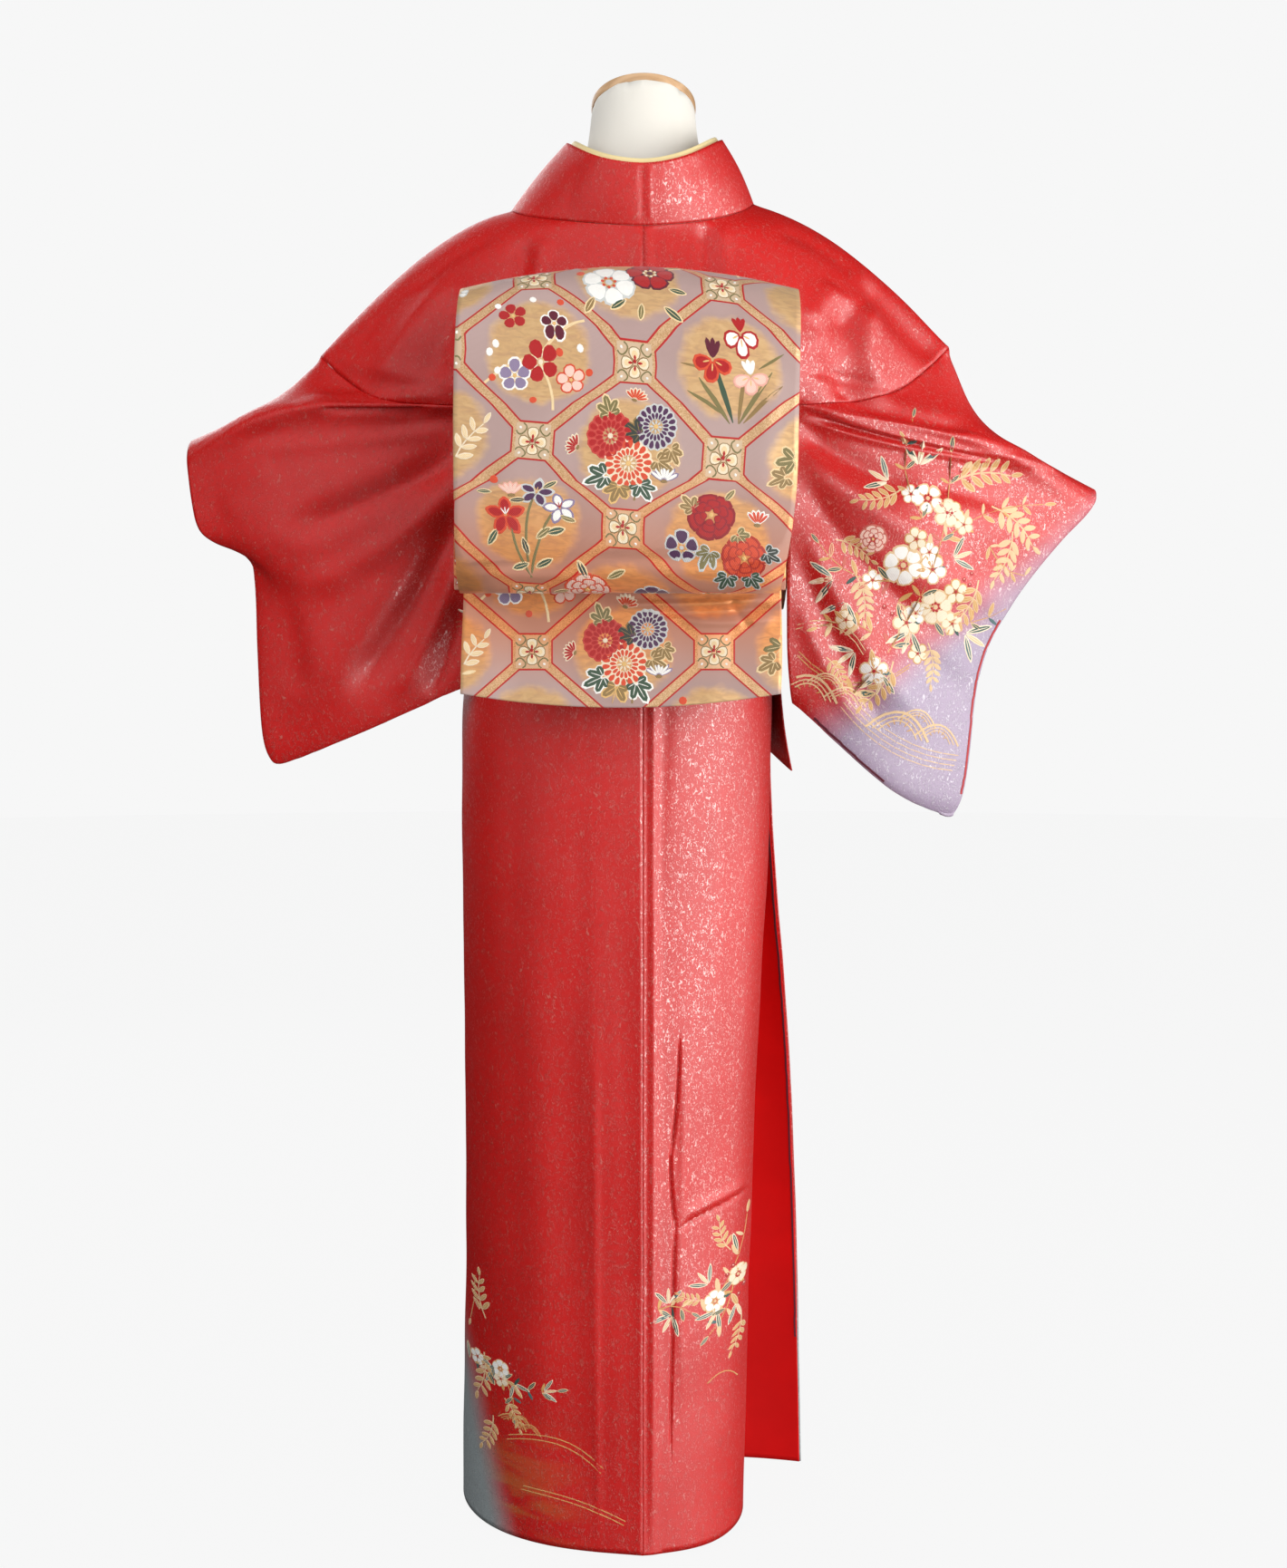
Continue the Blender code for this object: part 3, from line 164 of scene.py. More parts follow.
# %% Wrap sockets and materials
class Wire:
    """One output socket in a material, which can be used in sums."""

    def __init__(self, paint, socket):
        self.paint = paint
        self.socket = socket

    def math(self, operation, *others):
        return self.paint.node("Math", {"operation": operation}, dict(enumerate((self, *others))))

    def __add__(self, other):
        return self.math("ADD", other)

    def __radd__(self, other):
        return self.math("ADD", other)

    def __sub__(self, other):
        return self.math("SUBTRACT", other)

    def __rsub__(self, other):
        return self.math("MULTIPLY_ADD", -1.0, other)

    def __mul__(self, other):
        return self.math("MULTIPLY", other)

    def __rmul__(self, other):
        return self.math("MULTIPLY", other)

    def step(self, low, high):
        """Soft step from 0 at low to 1 at high."""
        settings = {"interpolation_type": "SMOOTHSTEP"}
        return self.paint.node("MapRange", settings, {"Value": self, "From Min": low, "From Max": high})


class Paint:
    """One material while it is mixed."""

    def __init__(self, name, **constants):
        self.material = bpy.data.materials.new(name)
        self.material.use_nodes = True
        self.tree = self.material.node_tree
        self.surface = self.tree.nodes["Principled BSDF"]
        for socket, value in constants.items():
            label = socket.replace("_", " ").title().replace("Ior", "IOR")
            self.surface.inputs[label].default_value = value

    def node(self, kind, settings=None, sockets=None, output=0):
        """Add any node: its settings first, then its sockets' values or links."""
        made = self.tree.nodes.new("ShaderNode" + kind)
        for name, value in (settings or {}).items():
            setattr(made, name, value)
        for name, value in (sockets or {}).items():
            self.feed(made.inputs[name], value)
        return Wire(self, made.outputs[output])

    def feed(self, socket, value):
        """Link a wire to a socket, or set its value."""
        if isinstance(value, Wire):
            self.tree.links.new(value.socket, socket)
        else:
            opaque = socket.type == "RGBA" and len(value) == 3
            socket.default_value = (*value, 1.0) if opaque else value

    def mix(self, share, low, high, blend="MIX"):
        """Mix two colours."""
        settings = {"data_type": "RGBA", "blend_type": blend}
        return self.node("Mix", settings, {0: share, 6: low, 7: high}, output=2)

    def noise(self, where, scale, detail=2.0, distortion=0.0, roughness=0.5):
        """Soft noise from 0 to 1."""
        sockets = {"Vector": where, "Scale": scale, "Detail": detail, "Distortion": distortion,
                   "Roughness": roughness}
        return self.node("TexNoise", None, sockets)

    def ridges(self, where, direction, scale, distortion, finer=1.0):
        """Even ridges across one direction."""
        sockets = {"Vector": where, "Scale": scale, "Distortion": distortion, "Detail": 1.0,
                   "Detail Scale": finer}
        return self.node("TexWave", {"wave_type": "BANDS", "bands_direction": direction}, sockets)

    def place(self):
        """Position on the piece, in metres."""
        return self.node("TexCoord", output=3)

    def parts(self, vector):
        """The x, y and z of a vector."""
        first = self.node("SeparateXYZ", None, {0: vector})
        return [Wire(self, socket) for socket in first.socket.node.outputs]

    def scaled(self, vector, factors):
        """A vector stretched by three factors."""
        return self.node("VectorMath", {"operation": "MULTIPLY"}, {0: vector, 1: factors})

    def bump(self, height, distance, strength=1.0):
        """Raise or sink the surface's shading by a height in metres."""
        made = self.node("Bump", None, {"Height": height, "Distance": distance, "Strength": strength})
        self.feed(self.surface.inputs["Normal"], made)

    def colour(self, value):
        self.feed(self.surface.inputs["Base Color"], value)

    def rough(self, value):
        self.feed(self.surface.inputs["Roughness"], value)

    def metal(self, value):
        self.feed(self.surface.inputs["Metallic"], value)


# %% [markdown]
# ## The kimono's silk
# The silk is a figured crepe: all over it, short bright threads float on a deep coral red. Noise that is
# warped and cut at a high level gives such flecks. The ground is matt and only the threads shine, so the
# coat follows them. The dyer also brushed some places in other colours, which are masks on the piece's
# own position.

# %% Mix the red crepe
SILK_RED = (0.560, 0.0035, 0.0028)
SILK_FLECK = (0.680, 0.038, 0.024)
# Painted glint: the rarest threads get a pale pink, partly their own lighter dye and partly painted light
# that they catch.
SILK_GLINT = (0.800, 0.300, 0.235)
FLECK_SCALE = 390.0
WEAVE_SCALE = 1500.0
WEAVE_HEIGHT = 0.0008


def darker(colour, share):
    return tuple(share * part for part in colour)


def crepe(name, dips=()):
    """Red figured crepe. Each dip is a function that gives a mask and its colour."""
    paint = Paint(name, specular_ior_level=0.95, coat_ior=2.6, coat_roughness=0.32)
    place = paint.place()
    broad = paint.noise(place, 9.0, 3.0)
    flecks = paint.noise(paint.scaled(place, (1.0, 1.0, 0.62)), FLECK_SCALE, 2.5, 1.6, 0.62)
    threads = flecks.step(0.535, 0.640)
    ground = paint.mix(broad.step(0.30, 0.72), darker(SILK_RED, 0.92), SILK_RED)
    fleck_colour, glint_colour, shine = SILK_FLECK, SILK_GLINT, threads
    for dip in dips:
        mask, dark, bright = dip(paint, place)
        shine = shine * (1 - mask * 0.6)
        ground = paint.mix(mask, ground, dark)
        fleck_colour = paint.mix(mask, fleck_colour, bright)
        glint_colour = paint.mix(mask, glint_colour, bright)
    # The highest peaks of the fleck noise get the glint colour: painted highlights on single threads.
    painted_glints = flecks.step(0.640, 0.720)
    woven = paint.mix(threads * 0.72, ground, fleck_colour)
    paint.colour(paint.mix(painted_glints * 0.75, woven, glint_colour))
    paint.metal(threads * 0.16)
    paint.rough(0.43 - threads * 0.05)
    paint.feed(paint.surface.inputs["Coat Weight"], shine)
    weave = paint.noise(place, WEAVE_SCALE, 1.0)
    paint.bump(threads * 0.6 + weave * 0.4, WEAVE_HEIGHT, 0.7)
    return paint.material


def mauve_dip(paint, place):
    """Brushed mauve on the lower outer part of the right sleeve."""
    x, _, z = paint.parts(place)
    edge = x * 0.76 + 0.682 - z
    ragged = edge + paint.noise(place, 14.0, 2.0) * 0.030
    return ragged.step(-0.010, 0.060), (0.330, 0.250, 0.360), (0.540, 0.480, 0.570)


def slate_dip(paint, place):
    """Brushed slate blue round the left side of the hem."""
    x, y, z = paint.parts(place)
    side = -0.128 - x - z * 0.26 + paint.noise(place, 16.0, 2.0) * 0.012
    turned = y.step(0.030, 0.080)
    mask = side.step(-0.006, 0.030).math("MAXIMUM", turned) * (1 - z.step(0.130, 0.260))
    return mask, (0.285, 0.320, 0.330), (0.460, 0.500, 0.510)


def gold_haze(paint, place):
    """Thin brushed gold beside the slate, in long strokes."""
    x, y, z = paint.parts(place)
    strokes = paint.noise(paint.scaled(place, (9.0, 9.0, 46.0)), 1.0, 3.0, 0.8)
    near = (-0.075 - x).step(-0.040, 0.070) * (1 - z.step(0.040, 0.150)) * (1 - y.step(-0.02, 0.06))
    return near * strokes.step(0.42, 0.62) * 0.55, (0.420, 0.150, 0.030), (0.620, 0.330, 0.100)


crepe_red = crepe("crepe_red")
crepe_sleeve = crepe("crepe_sleeve", [mauve_dip])
crepe_hem = crepe("crepe_hem", [gold_haze, slate_dip])
print("Crepes", crepe_red.name, crepe_sleeve.name, crepe_hem.name)

# %% [markdown]
# The lining is a plain saturated red, and the strip in the collar is a pale gold.

# %% Mix the plain silks
RIB_SCALE = 900.0


def plain_silk(name, colour, roughness, sheen):
    """Fine plain weave in one dye."""
    paint = Paint(name, sheen_weight=sheen, sheen_roughness=0.4, specular_ior_level=0.2)
    place = paint.place()
    cloudy = paint.noise(place, 12.0, 2.0)
    paint.colour(paint.mix(cloudy.step(0.3, 0.7), darker(colour, 0.86), colour))
    weave = paint.noise(paint.scaled(place, (1.0, 1.0, 3.0)), RIB_SCALE, 1.0)
    paint.rough(roughness + (weave - 0.5) * 0.12)
    paint.bump(weave, 0.0002, 0.4)
    return paint.material


lining_red = plain_silk("lining_red", (0.720, 0.0025, 0.003), 0.6, 0.0)
collar_gold = plain_silk("collar_gold", (0.780, 0.640, 0.330), 0.36, 0.2)
print("Plain silks", lining_red.name, collar_gold.name)

# %% [markdown]
# ## The obi's brocade
# The cloth is a lilac satin with an old lattice of octagons. An octagon is the largest of three
# distances: to its upright sides, to its flat sides and to its cut corners. Two sets of octagons, half a
# step apart, leave bands between them, which are woven in gold with red edges. Small squares stand where
# the bands meet.

# %% Weave the octagon lattice
LATTICE_U = 0.0848
LATTICE_V = 0.0746
OCTAGON_HALF_U = 0.0668
OCTAGON_HALF_V = 0.0586
OCTAGON_FLAT_U = 0.0122
OCTAGON_FLAT_V = 0.0108
RED_LINE = 0.0013
SQUARE_HALF = 0.0150
CLOUD_RADIUS = (0.0370, 0.0475)
# Heights where the obi's painted warm shade grows in and then fades out.
UNDER_DRUM = (0.835, 0.915)
BELOW_MIDDLE = (0.930, 1.060)


def octagon(across, up):
    """Distance from an octagon's edge, negative inside it."""
    run = OCTAGON_HALF_U - OCTAGON_FLAT_U
    rise = OCTAGON_HALF_V - OCTAGON_FLAT_V
    length = math.hypot(run, rise)
    reach = (OCTAGON_HALF_U * rise + OCTAGON_FLAT_V * run) / length
    cut = across * (rise / length) + up * (run / length) - reach
    sides = (across - OCTAGON_HALF_U).math("MAXIMUM", up - OCTAGON_HALF_V)
    return sides.math("MAXIMUM", cut)


def brocade(name):
    """Lilac satin, gold lattice with red lines, and a gold cloud in each octagon."""
    paint = Paint(name, sheen_weight=0.15, sheen_roughness=0.3)
    cloth = paint.node("UVMap", {"uv_map": "cloth"})
    u, v, _ = paint.parts(cloth)
    even_u, odd_u = (wire.math("PINGPONG", LATTICE_U) for wire in (u, u - LATTICE_U))
    even_v, odd_v = (wire.math("PINGPONG", LATTICE_V) for wire in (v, v - LATTICE_V))
    folds = ((odd_u, even_v), (even_u, odd_v))
    edge = octagon(*folds[0]).math("MINIMUM", octagon(*folds[1]))
    warp = paint.noise(cloth, 60.0, 2.0)
    rounds = [(across * across * 0.92 + up * up * 1.06).math("SQRT") + (warp - 0.5) * 0.012
              for across, up in folds]
    clouds = rounds[0].math("MINIMUM", rounds[1])
    brushed = paint.noise(paint.scaled(cloth, (70.0, 210.0, 1.0)), 1.0, 3.0, 0.8)
    cloud = (1 - clouds.step(*CLOUD_RADIUS)) * (0.74 + brushed.step(0.30, 0.60) * 0.26)
    in_band = edge.step(-0.0002, 0.0002)
    on_line = (edge + RED_LINE / 2).math("ABSOLUTE")
    line = 1 - on_line.step(RED_LINE * 0.48, RED_LINE * 0.70)
    square = even_u.math("MAXIMUM", even_v).math("MINIMUM", odd_u.math("MAXIMUM", odd_v))
    patch = (1 - square.step(SQUARE_HALF, SQUARE_HALF + 0.0006)) * in_band
    tone = paint.noise(cloth, 7.0, 2.0)
    satin = paint.mix(tone.step(0.3, 0.7), (0.355, 0.240, 0.222), (0.425, 0.300, 0.280))
    gold = paint.mix(brushed.step(0.25, 0.75), (0.680, 0.390, 0.170), (0.800, 0.530, 0.270))
    curls = paint.noise(cloth, 640.0, 1.0, 2.4).step(0.47, 0.55)
    band = paint.mix(curls, (0.640, 0.360, 0.170), (0.860, 0.600, 0.360))
    ground = paint.mix(cloud, satin, gold)
    ground = paint.mix(in_band, ground, band)
    ground = paint.mix(patch, ground, (0.800, 0.590, 0.400))
    ground = paint.mix(line, ground, (0.420, 0.012, 0.014))
    # Painted shade and painted warm reflected light: the satin and gold are made darker and browner from the
    # drum's foot, over the flap's top and up the drum's lower part.
    height = paint.parts(paint.place())[2]
    painted_warm_shade = (1 - height.step(*BELOW_MIDDLE)) * height.step(*UNDER_DRUM)
    ground = paint.mix(painted_warm_shade * 0.85, ground, (1.300, 0.740, 0.460), "MULTIPLY")
    paint.colour(ground)
    golden = cloud.math("MAXIMUM", in_band) * 0.42
    paint.metal(golden)
    picks = paint.ridges(cloth, "Y", 420.0, 1.2, 3.0)
    paint.rough(0.44 - golden * 0.25 + picks * 0.05)
    raised = in_band * 0.5 + line * 0.4 + cloud * 0.3 + picks * 0.30
    paint.bump(raised, 0.0004, 0.6)
    return paint.material


obi_brocade = brocade("obi_brocade")
print("Brocade nodes", len(obi_brocade.node_tree.nodes))

# %% [markdown]
# ## Threads and paint
# Every flower, leaf and line is its own small closed shape with its dye kept in a colour attribute. Two
# materials read that dye, one for woven thread and one for paint, and fine ridges across them stand for
# floats.

# %% Mix the thread and the painted dye
def dyed(name, roughness, ridge, sheen):
    """Material whose colour comes from the attribute named dye."""
    paint = Paint(name, sheen_weight=sheen, sheen_roughness=0.35)
    dye = paint.node("Attribute", {"attribute_type": "GEOMETRY", "attribute_name": "dye"})
    place = paint.place()
    floats = paint.ridges(place, "DIAGONAL", 380.0, 2.0, 2.0)
    worn = paint.noise(place, 240.0, 2.0)
    shade = 0.80 + floats * 0.16 + worn * 0.12
    grey = paint.node("CombineColor", None, {0: shade, 1: shade, 2: shade})
    paint.colour(paint.mix(1.0, dye, grey, "MULTIPLY"))
    paint.rough(roughness + worn * 0.12)
    paint.bump(floats, ridge, 0.6)
    return paint.material


thread = dyed("thread", 0.38, 0.0003, 0.25)
painted = dyed("painted_dye", 0.50, 0.00012, 0.4)
print("Dyed materials", thread.name, painted.name)

# %% [markdown]
# ## From a CAD wall to soft cloth
# A packed wall is loose triangles. Merging them, taking away the narrow rim and keeping the larger side
# leaves the cloth's outer face as one open sheet. A Subdivision Surface rounds it. Creases are then
# pressed in along lines that are given in metres, and a Solidify modifier gives the sheet its wall again.

# %% Take and round the outer side of a wall
MERGE = 0.00002
RIM_SHARE = 1.3
CORNER_BEND = math.radians(38)


def make_object(name, mesh, smooth=True):
    """Put a bmesh in the scene as one object."""
    data = bpy.data.meshes.new(name)
    mesh.to_mesh(data)
    mesh.free()
    if smooth:
        data.shade_smooth()
    return add_object(name, data)


def merged(node):
    """A CAD solid as a new mesh, with its loose triangles merged."""
    mesh = bmesh.new()
    mesh.from_mesh(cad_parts[node].data)
    bmesh.ops.remove_doubles(mesh, verts=mesh.verts, dist=MERGE)
    return mesh


def into_quads(mesh):
    """Join pairs of triangles, whatever their bend."""
    bmesh.ops.join_triangles(mesh, faces=mesh.faces, angle_face_threshold=math.pi,
                             angle_shape_threshold=math.pi)


def islands(mesh):
    """Groups of joined faces."""
    waiting = set(mesh.faces)
    groups = []
    while waiting:
        group = [waiting.pop()]
        for face in group:
            for edge in face.edges:
                for other in edge.link_faces:
                    if other in waiting:
                        waiting.discard(other)
                        group.append(other)
        groups.append(group)
    return groups


def hold_corners(mesh):
    """Keep the sharp corners of an open sheet where they are."""
    hold = mesh.verts.layers.float.get("crease_vert") or mesh.verts.layers.float.new("crease_vert")
    for vertex in mesh.verts:
        ends = [edge.other_vert(vertex) for edge in vertex.link_edges if edge.is_boundary]
        if len(ends) == 2:
            bend = (ends[0].co - vertex.co).angle(vertex.co - ends[1].co)
            if bend > CORNER_BEND:
                vertex[hold] = 1.0


def outer_sheet(node, wall, facing=None):
    """Outer side of a CAD wall as an open sheet, facing out."""
    mesh = merged(node)
    rim = [face for face in mesh.faces if min(edge.calc_length() for edge in face.edges) < wall * RIM_SHARE]
    bmesh.ops.delete(mesh, geom=rim, context="FACES")

    def worth(group):
        if facing is None:
            return sum(face.calc_area() for face in group)
        return sum(face.calc_area() * face.normal.dot(Vector(facing)) for face in group)

    groups = islands(mesh)
    kept = set(max(groups, key=worth))
    bmesh.ops.delete(mesh, geom=[face for face in mesh.faces if face not in kept], context="FACES")
    into_quads(mesh)
    hold_corners(mesh)
    return mesh


def rounded(name, mesh, levels):
    """Object with a Subdivision Surface worked into its mesh."""
    rough = make_object(name + "_rough", mesh)
    rounder = rough.modifiers.new("round", "SUBSURF")
    rounder.levels = levels
    rounder.render_levels = levels
    rounder.boundary_smooth = "PRESERVE_CORNERS"
    data = bpy.data.meshes.new_from_object(rough.evaluated_get(bpy.context.evaluated_depsgraph_get()))
    bpy.data.objects.remove(rough)
    data.name = name
    data.shade_smooth()
    return add_object(name, data)


# %% [markdown]
# A crease is a soft line: two ends, how far it bows sideways, its half width, its depth (positive for a
# ridge, negative for a trough) and how much it fades toward its second end. The same tables serve
# neighbouring pieces, so a fold runs over a seam without a step.

# %% List the creases
Crease = namedtuple("Crease", "x0 z0 x1 z1 bow width depth fade")
UPPER_BACK = [
    # right shoulder: a deep hollow beside the obi, a ridge outside it and a shaded outer edge
    Crease(0.196, 1.222, 0.206, 1.112, 0.006, 0.0150, -0.0085, 0.1),
    Crease(0.172, 1.180, 0.196, 1.120, 0.000, 0.0110, -0.0040, 0.1),
    Crease(0.222, 1.224, 0.240, 1.120, 0.010, 0.0110, 0.0058, 0.3),
    Crease(0.218, 1.250, 0.296, 1.168, 0.002, 0.0120, -0.0068, 0.2),
    Crease(0.186, 1.238, 0.160, 1.196, 0.000, 0.0120, 0.0036, 0.2),
    Crease(0.150, 1.150, 0.262, 1.130, -0.004, 0.0060, -0.0032, 0.4),
    # pleats that hang from the collar on both sides of the seam
    Crease(0.058, 1.292, 0.064, 1.214, 0.000, 0.0075, -0.0056, 0.2),
    Crease(0.074, 1.292, 0.082, 1.214, 0.000, 0.0070, 0.0040, 0.2),
    Crease(-0.114, 1.276, -0.124, 1.206, 0.000, 0.0085, -0.0060, 0.2),
    Crease(-0.096, 1.280, -0.104, 1.206, 0.000, 0.0080, 0.0036, 0.2),
    Crease(0.012, 1.300, 0.014, 1.224, 0.000, 0.0040, -0.0022, 0.2),
    Crease(-0.140, 1.288, -0.228, 1.232, 0.006, 0.0080, -0.0030, 0.3),
    Crease(0.130, 1.292, 0.210, 1.250, -0.006, 0.0080, -0.0026, 0.3),
    # left shoulder
    Crease(-0.170, 1.232, -0.210, 1.130, 0.004, 0.0160, -0.0060, 0.2),
    Crease(-0.196, 1.262, -0.288, 1.176, 0.006, 0.0100, -0.0032, 0.3),
    Crease(-0.186, 1.244, -0.262, 1.140, 0.006, 0.0110, 0.0036, 0.3),
    Crease(-0.310, 1.170, -0.176, 1.136, 0.000, 0.0080, 0.0030, 0.3),
    # right sleeve: its doubled top edge, and folds that fan out from the obi's corner
    Crease(0.150, 1.122, 0.420, 1.064, 0.010, 0.0046, 0.0048, 0.2),
    Crease(0.150, 1.113, 0.400, 1.066, 0.008, 0.0032, -0.0040, 0.3),
    Crease(0.150, 1.106, 0.360, 1.066, 0.006, 0.0046, 0.0046, 0.4),
    Crease(0.190, 1.126, 0.324, 1.100, 0.004, 0.0080, -0.0062, 0.2),
    Crease(0.150, 1.098, 0.262, 1.036, 0.004, 0.0110, -0.0068, 0.3),
    Crease(0.150, 1.072, 0.300, 0.980, 0.008, 0.0120, 0.0052, 0.4),
    Crease(0.150, 1.048, 0.300, 0.890, 0.010, 0.0120, -0.0060, 0.4),
    Crease(0.150, 1.010, 0.290, 0.800, 0.012, 0.0130, 0.0052, 0.3),
    Crease(0.150, 0.980, 0.246, 0.800, 0.010, 0.0110, -0.0050, 0.3),
    Crease(0.152, 0.930, 0.220, 0.800, 0.006, 0.0110, 0.0040, 0.3),
    Crease(0.262, 1.046, 0.430, 1.000, -0.004, 0.0090, -0.0036, 0.4),
    Crease(0.240, 0.960, 0.370, 0.920, -0.006, 0.0140, 0.0036, 0.4),
    Crease(0.226, 0.900, 0.330, 0.830, -0.006, 0.0130, -0.0040, 0.4),
    # left sleeve: a tuck at the top edge, then broad folds down to the lower corner
    Crease(-0.316, 1.117, -0.205, 1.114, 0.000, 0.0042, -0.0056, 0.2),
    Crease(-0.340, 1.128, -0.190, 1.128, 0.000, 0.0070, 0.0046, 0.3),
    Crease(-0.178, 1.098, -0.400, 1.080, -0.004, 0.0080, 0.0030, 0.5),
    Crease(-0.172, 1.078, -0.352, 0.998, -0.006, 0.0150, -0.0105, 0.1),
    Crease(-0.172, 1.046, -0.336, 0.940, -0.010, 0.0150, 0.0072, 0.3),
    Crease(-0.174, 1.030, -0.290, 0.836, -0.010, 0.0150, -0.0110, 0.1),
    Crease(-0.176, 0.980, -0.246, 0.830, -0.006, 0.0110, 0.0074, 0.2),
    Crease(-0.176, 0.930, -0.210, 0.836, -0.004, 0.0090, -0.0060, 0.2),
    Crease(-0.352, 0.960, -0.340, 0.836, 0.004, 0.0160, -0.0034, 0.2),
    Crease(-0.360, 1.060, -0.420, 1.020, 0.000, 0.0140, 0.0026, 0.2),
]
UPPER_FRONT = [
    Crease(0.150, 1.230, 0.060, 1.110, 0.006, 0.0100, -0.0030, 0.3),
    Crease(0.166, 1.214, 0.088, 1.106, 0.004, 0.0100, 0.0026, 0.3),
    Crease(0.232, 1.220, 0.168, 1.120, 0.006, 0.0110, -0.0036, 0.3),
    Crease(0.246, 1.206, 0.186, 1.124, 0.006, 0.0100, 0.0026, 0.3),
    Crease(-0.140, 1.236, -0.050, 1.112, -0.006, 0.0110, -0.0032, 0.3),
    Crease(-0.160, 1.220, -0.082, 1.110, -0.004, 0.0100, 0.0026, 0.3),
    Crease(-0.226, 1.214, -0.170, 1.122, -0.006, 0.0110, -0.0036, 0.3),
    Crease(0.160, 1.090, 0.360, 1.030, 0.006, 0.0090, -0.0036, 0.4),
    Crease(0.160, 1.060, 0.340, 0.960, 0.008, 0.0110, 0.0036, 0.4),
    Crease(0.160, 1.010, 0.310, 0.850, 0.010, 0.0120, -0.0040, 0.3),
    Crease(0.160, 0.960, 0.260, 0.800, 0.008, 0.0110, 0.0034, 0.3),
    Crease(-0.180, 1.090, -0.400, 1.030, -0.006, 0.0090, -0.0034, 0.4),
    Crease(-0.180, 1.050, -0.390, 0.930, -0.008, 0.0120, 0.0036, 0.4),
    Crease(-0.180, 1.000, -0.360, 0.820, -0.010, 0.0120, -0.0040, 0.3),
]
SKIRT_BACK = [
    Crease(-0.046, 0.520, -0.043, 0.000, 0.002, 0.0034, 0.0011, -0.4),
    Crease(0.0098, 0.960, 0.0088, -0.040, 0.000, 0.0052, 0.0030, 0.0),
    Crease(0.0050, 0.960, 0.0040, -0.040, 0.000, 0.0026, -0.0012, 0.0),
    Crease(-0.060, 0.860, -0.058, 0.000, 0.002, 0.0120, -0.0014, -0.3),
    Crease(-0.030, 0.640, -0.026, 0.000, -0.002, 0.0110, 0.0012, -0.3),
    Crease(-0.096, 0.780, -0.100, 0.120, 0.006, 0.0180, 0.0011, 0.3),
    Crease(-0.122, 0.840, -0.126, 0.200, 0.004, 0.0160, -0.0010, 0.3),
    Crease(0.0348, 0.512, 0.0262, 0.392, -0.0022, 0.0013, -0.0040, 0.0),
    Crease(0.0262, 0.400, 0.0312, 0.322, 0.0012, 0.0013, -0.0040, 0.0),
    Crease(0.0312, 0.330, 0.0262, 0.090, 0.0010, 0.0013, -0.0036, 0.5),
    Crease(0.0420, 0.490, 0.0380, 0.130, 0.0035, 0.0048, 0.0018, 0.3),
    Crease(0.0316, 0.322, 0.1060, 0.346, -0.0030, 0.0013, -0.0040, 0.2),
    Crease(0.0380, 0.334, 0.1060, 0.355, -0.0030, 0.0050, 0.0026, 0.2),
    Crease(0.0760, 0.780, 0.0720, 0.420, 0.0030, 0.0100, 0.0018, 0.4),
    Crease(0.0240, 0.860, 0.0120, 0.600, 0.0020, 0.0080, -0.0016, 0.5),
    Crease(-0.0700, 0.860, -0.0500, 0.640, 0.0020, 0.0110, 0.0009, 0.5),
]
SKIRT_FRONT = [
    Crease(-0.120, 0.880, -0.060, 0.560, 0.006, 0.0120, -0.0028, 0.4),
    Crease(-0.096, 0.880, -0.030, 0.520, 0.006, 0.0110, 0.0026, 0.4),
    Crease(0.080, 0.860, 0.040, 0.420, -0.004, 0.0110, -0.0026, 0.4),
    Crease(0.058, 0.860, 0.020, 0.400, -0.004, 0.0110, 0.0022, 0.4),
    Crease(0.020, 0.420, 0.026, 0.010, 0.004, 0.0130, -0.0026, 0.0),
    Crease(-0.070, 0.380, -0.076, 0.010, -0.004, 0.0130, 0.0024, 0.0),
]
print("Creases", len(UPPER_BACK) + len(UPPER_FRONT) + len(SKIRT_BACK) + len(SKIRT_FRONT))


# %% Press creases into a sheet
SOFT_SCALE = 0.075
SOFT_DEPTH = 0.0011
CREASE_START = (-0.04, 0.20)
CREASE_END = (0.78, 1.04)
TURNED = 0.45


def soft_step(values, low, high):
    """Soft step of an array of numbers."""
    share = np.clip((values - low) / (high - low), 0, 1)
    return share * share * (3 - 2 * share)


def crease_heights(points, creases):
    """Sum of all creases at each point."""
    total = np.zeros(len(points))
    for crease in creases:
        run_x, run_z = crease.x1 - crease.x0, crease.z1 - crease.z0
        length = math.hypot(run_x, run_z)
        off_x, off_z = points[:, 0] - crease.x0, points[:, 2] - crease.z0
        share = (off_x * run_x + off_z * run_z) / length ** 2
        across = (off_x * run_z - off_z * run_x) / length
        across = across - crease.bow * 4 * share * (1 - share)
        ends = soft_step(share, *CREASE_START) * (1 - soft_step(share, *CREASE_END))
        ends = ends * (1 - crease.fade * np.clip(share, 0, 1))
        total += crease.depth * np.exp(-(across / crease.width) ** 2) * ends
    return total


def refine(piece, boxes):
    """Divide the sheet's faces once more inside boxes of x0, z0, x1, z1 on its back."""
    if not boxes:
        return
    mesh = bmesh.new()
    mesh.from_mesh(piece.data)
    chosen = set()
    for face in mesh.faces:
        middle = face.calc_center_median()
        if face.normal.y < 0 and any(x0 < middle.x < x1 and z0 < middle.z < z1 for x0, z0, x1, z1 in boxes):
            chosen.update(face.edges)
    bmesh.ops.subdivide_edges(mesh, edges=list(chosen), cuts=1, use_grid_fill=True)
    mesh.to_mesh(piece.data)
    mesh.free()


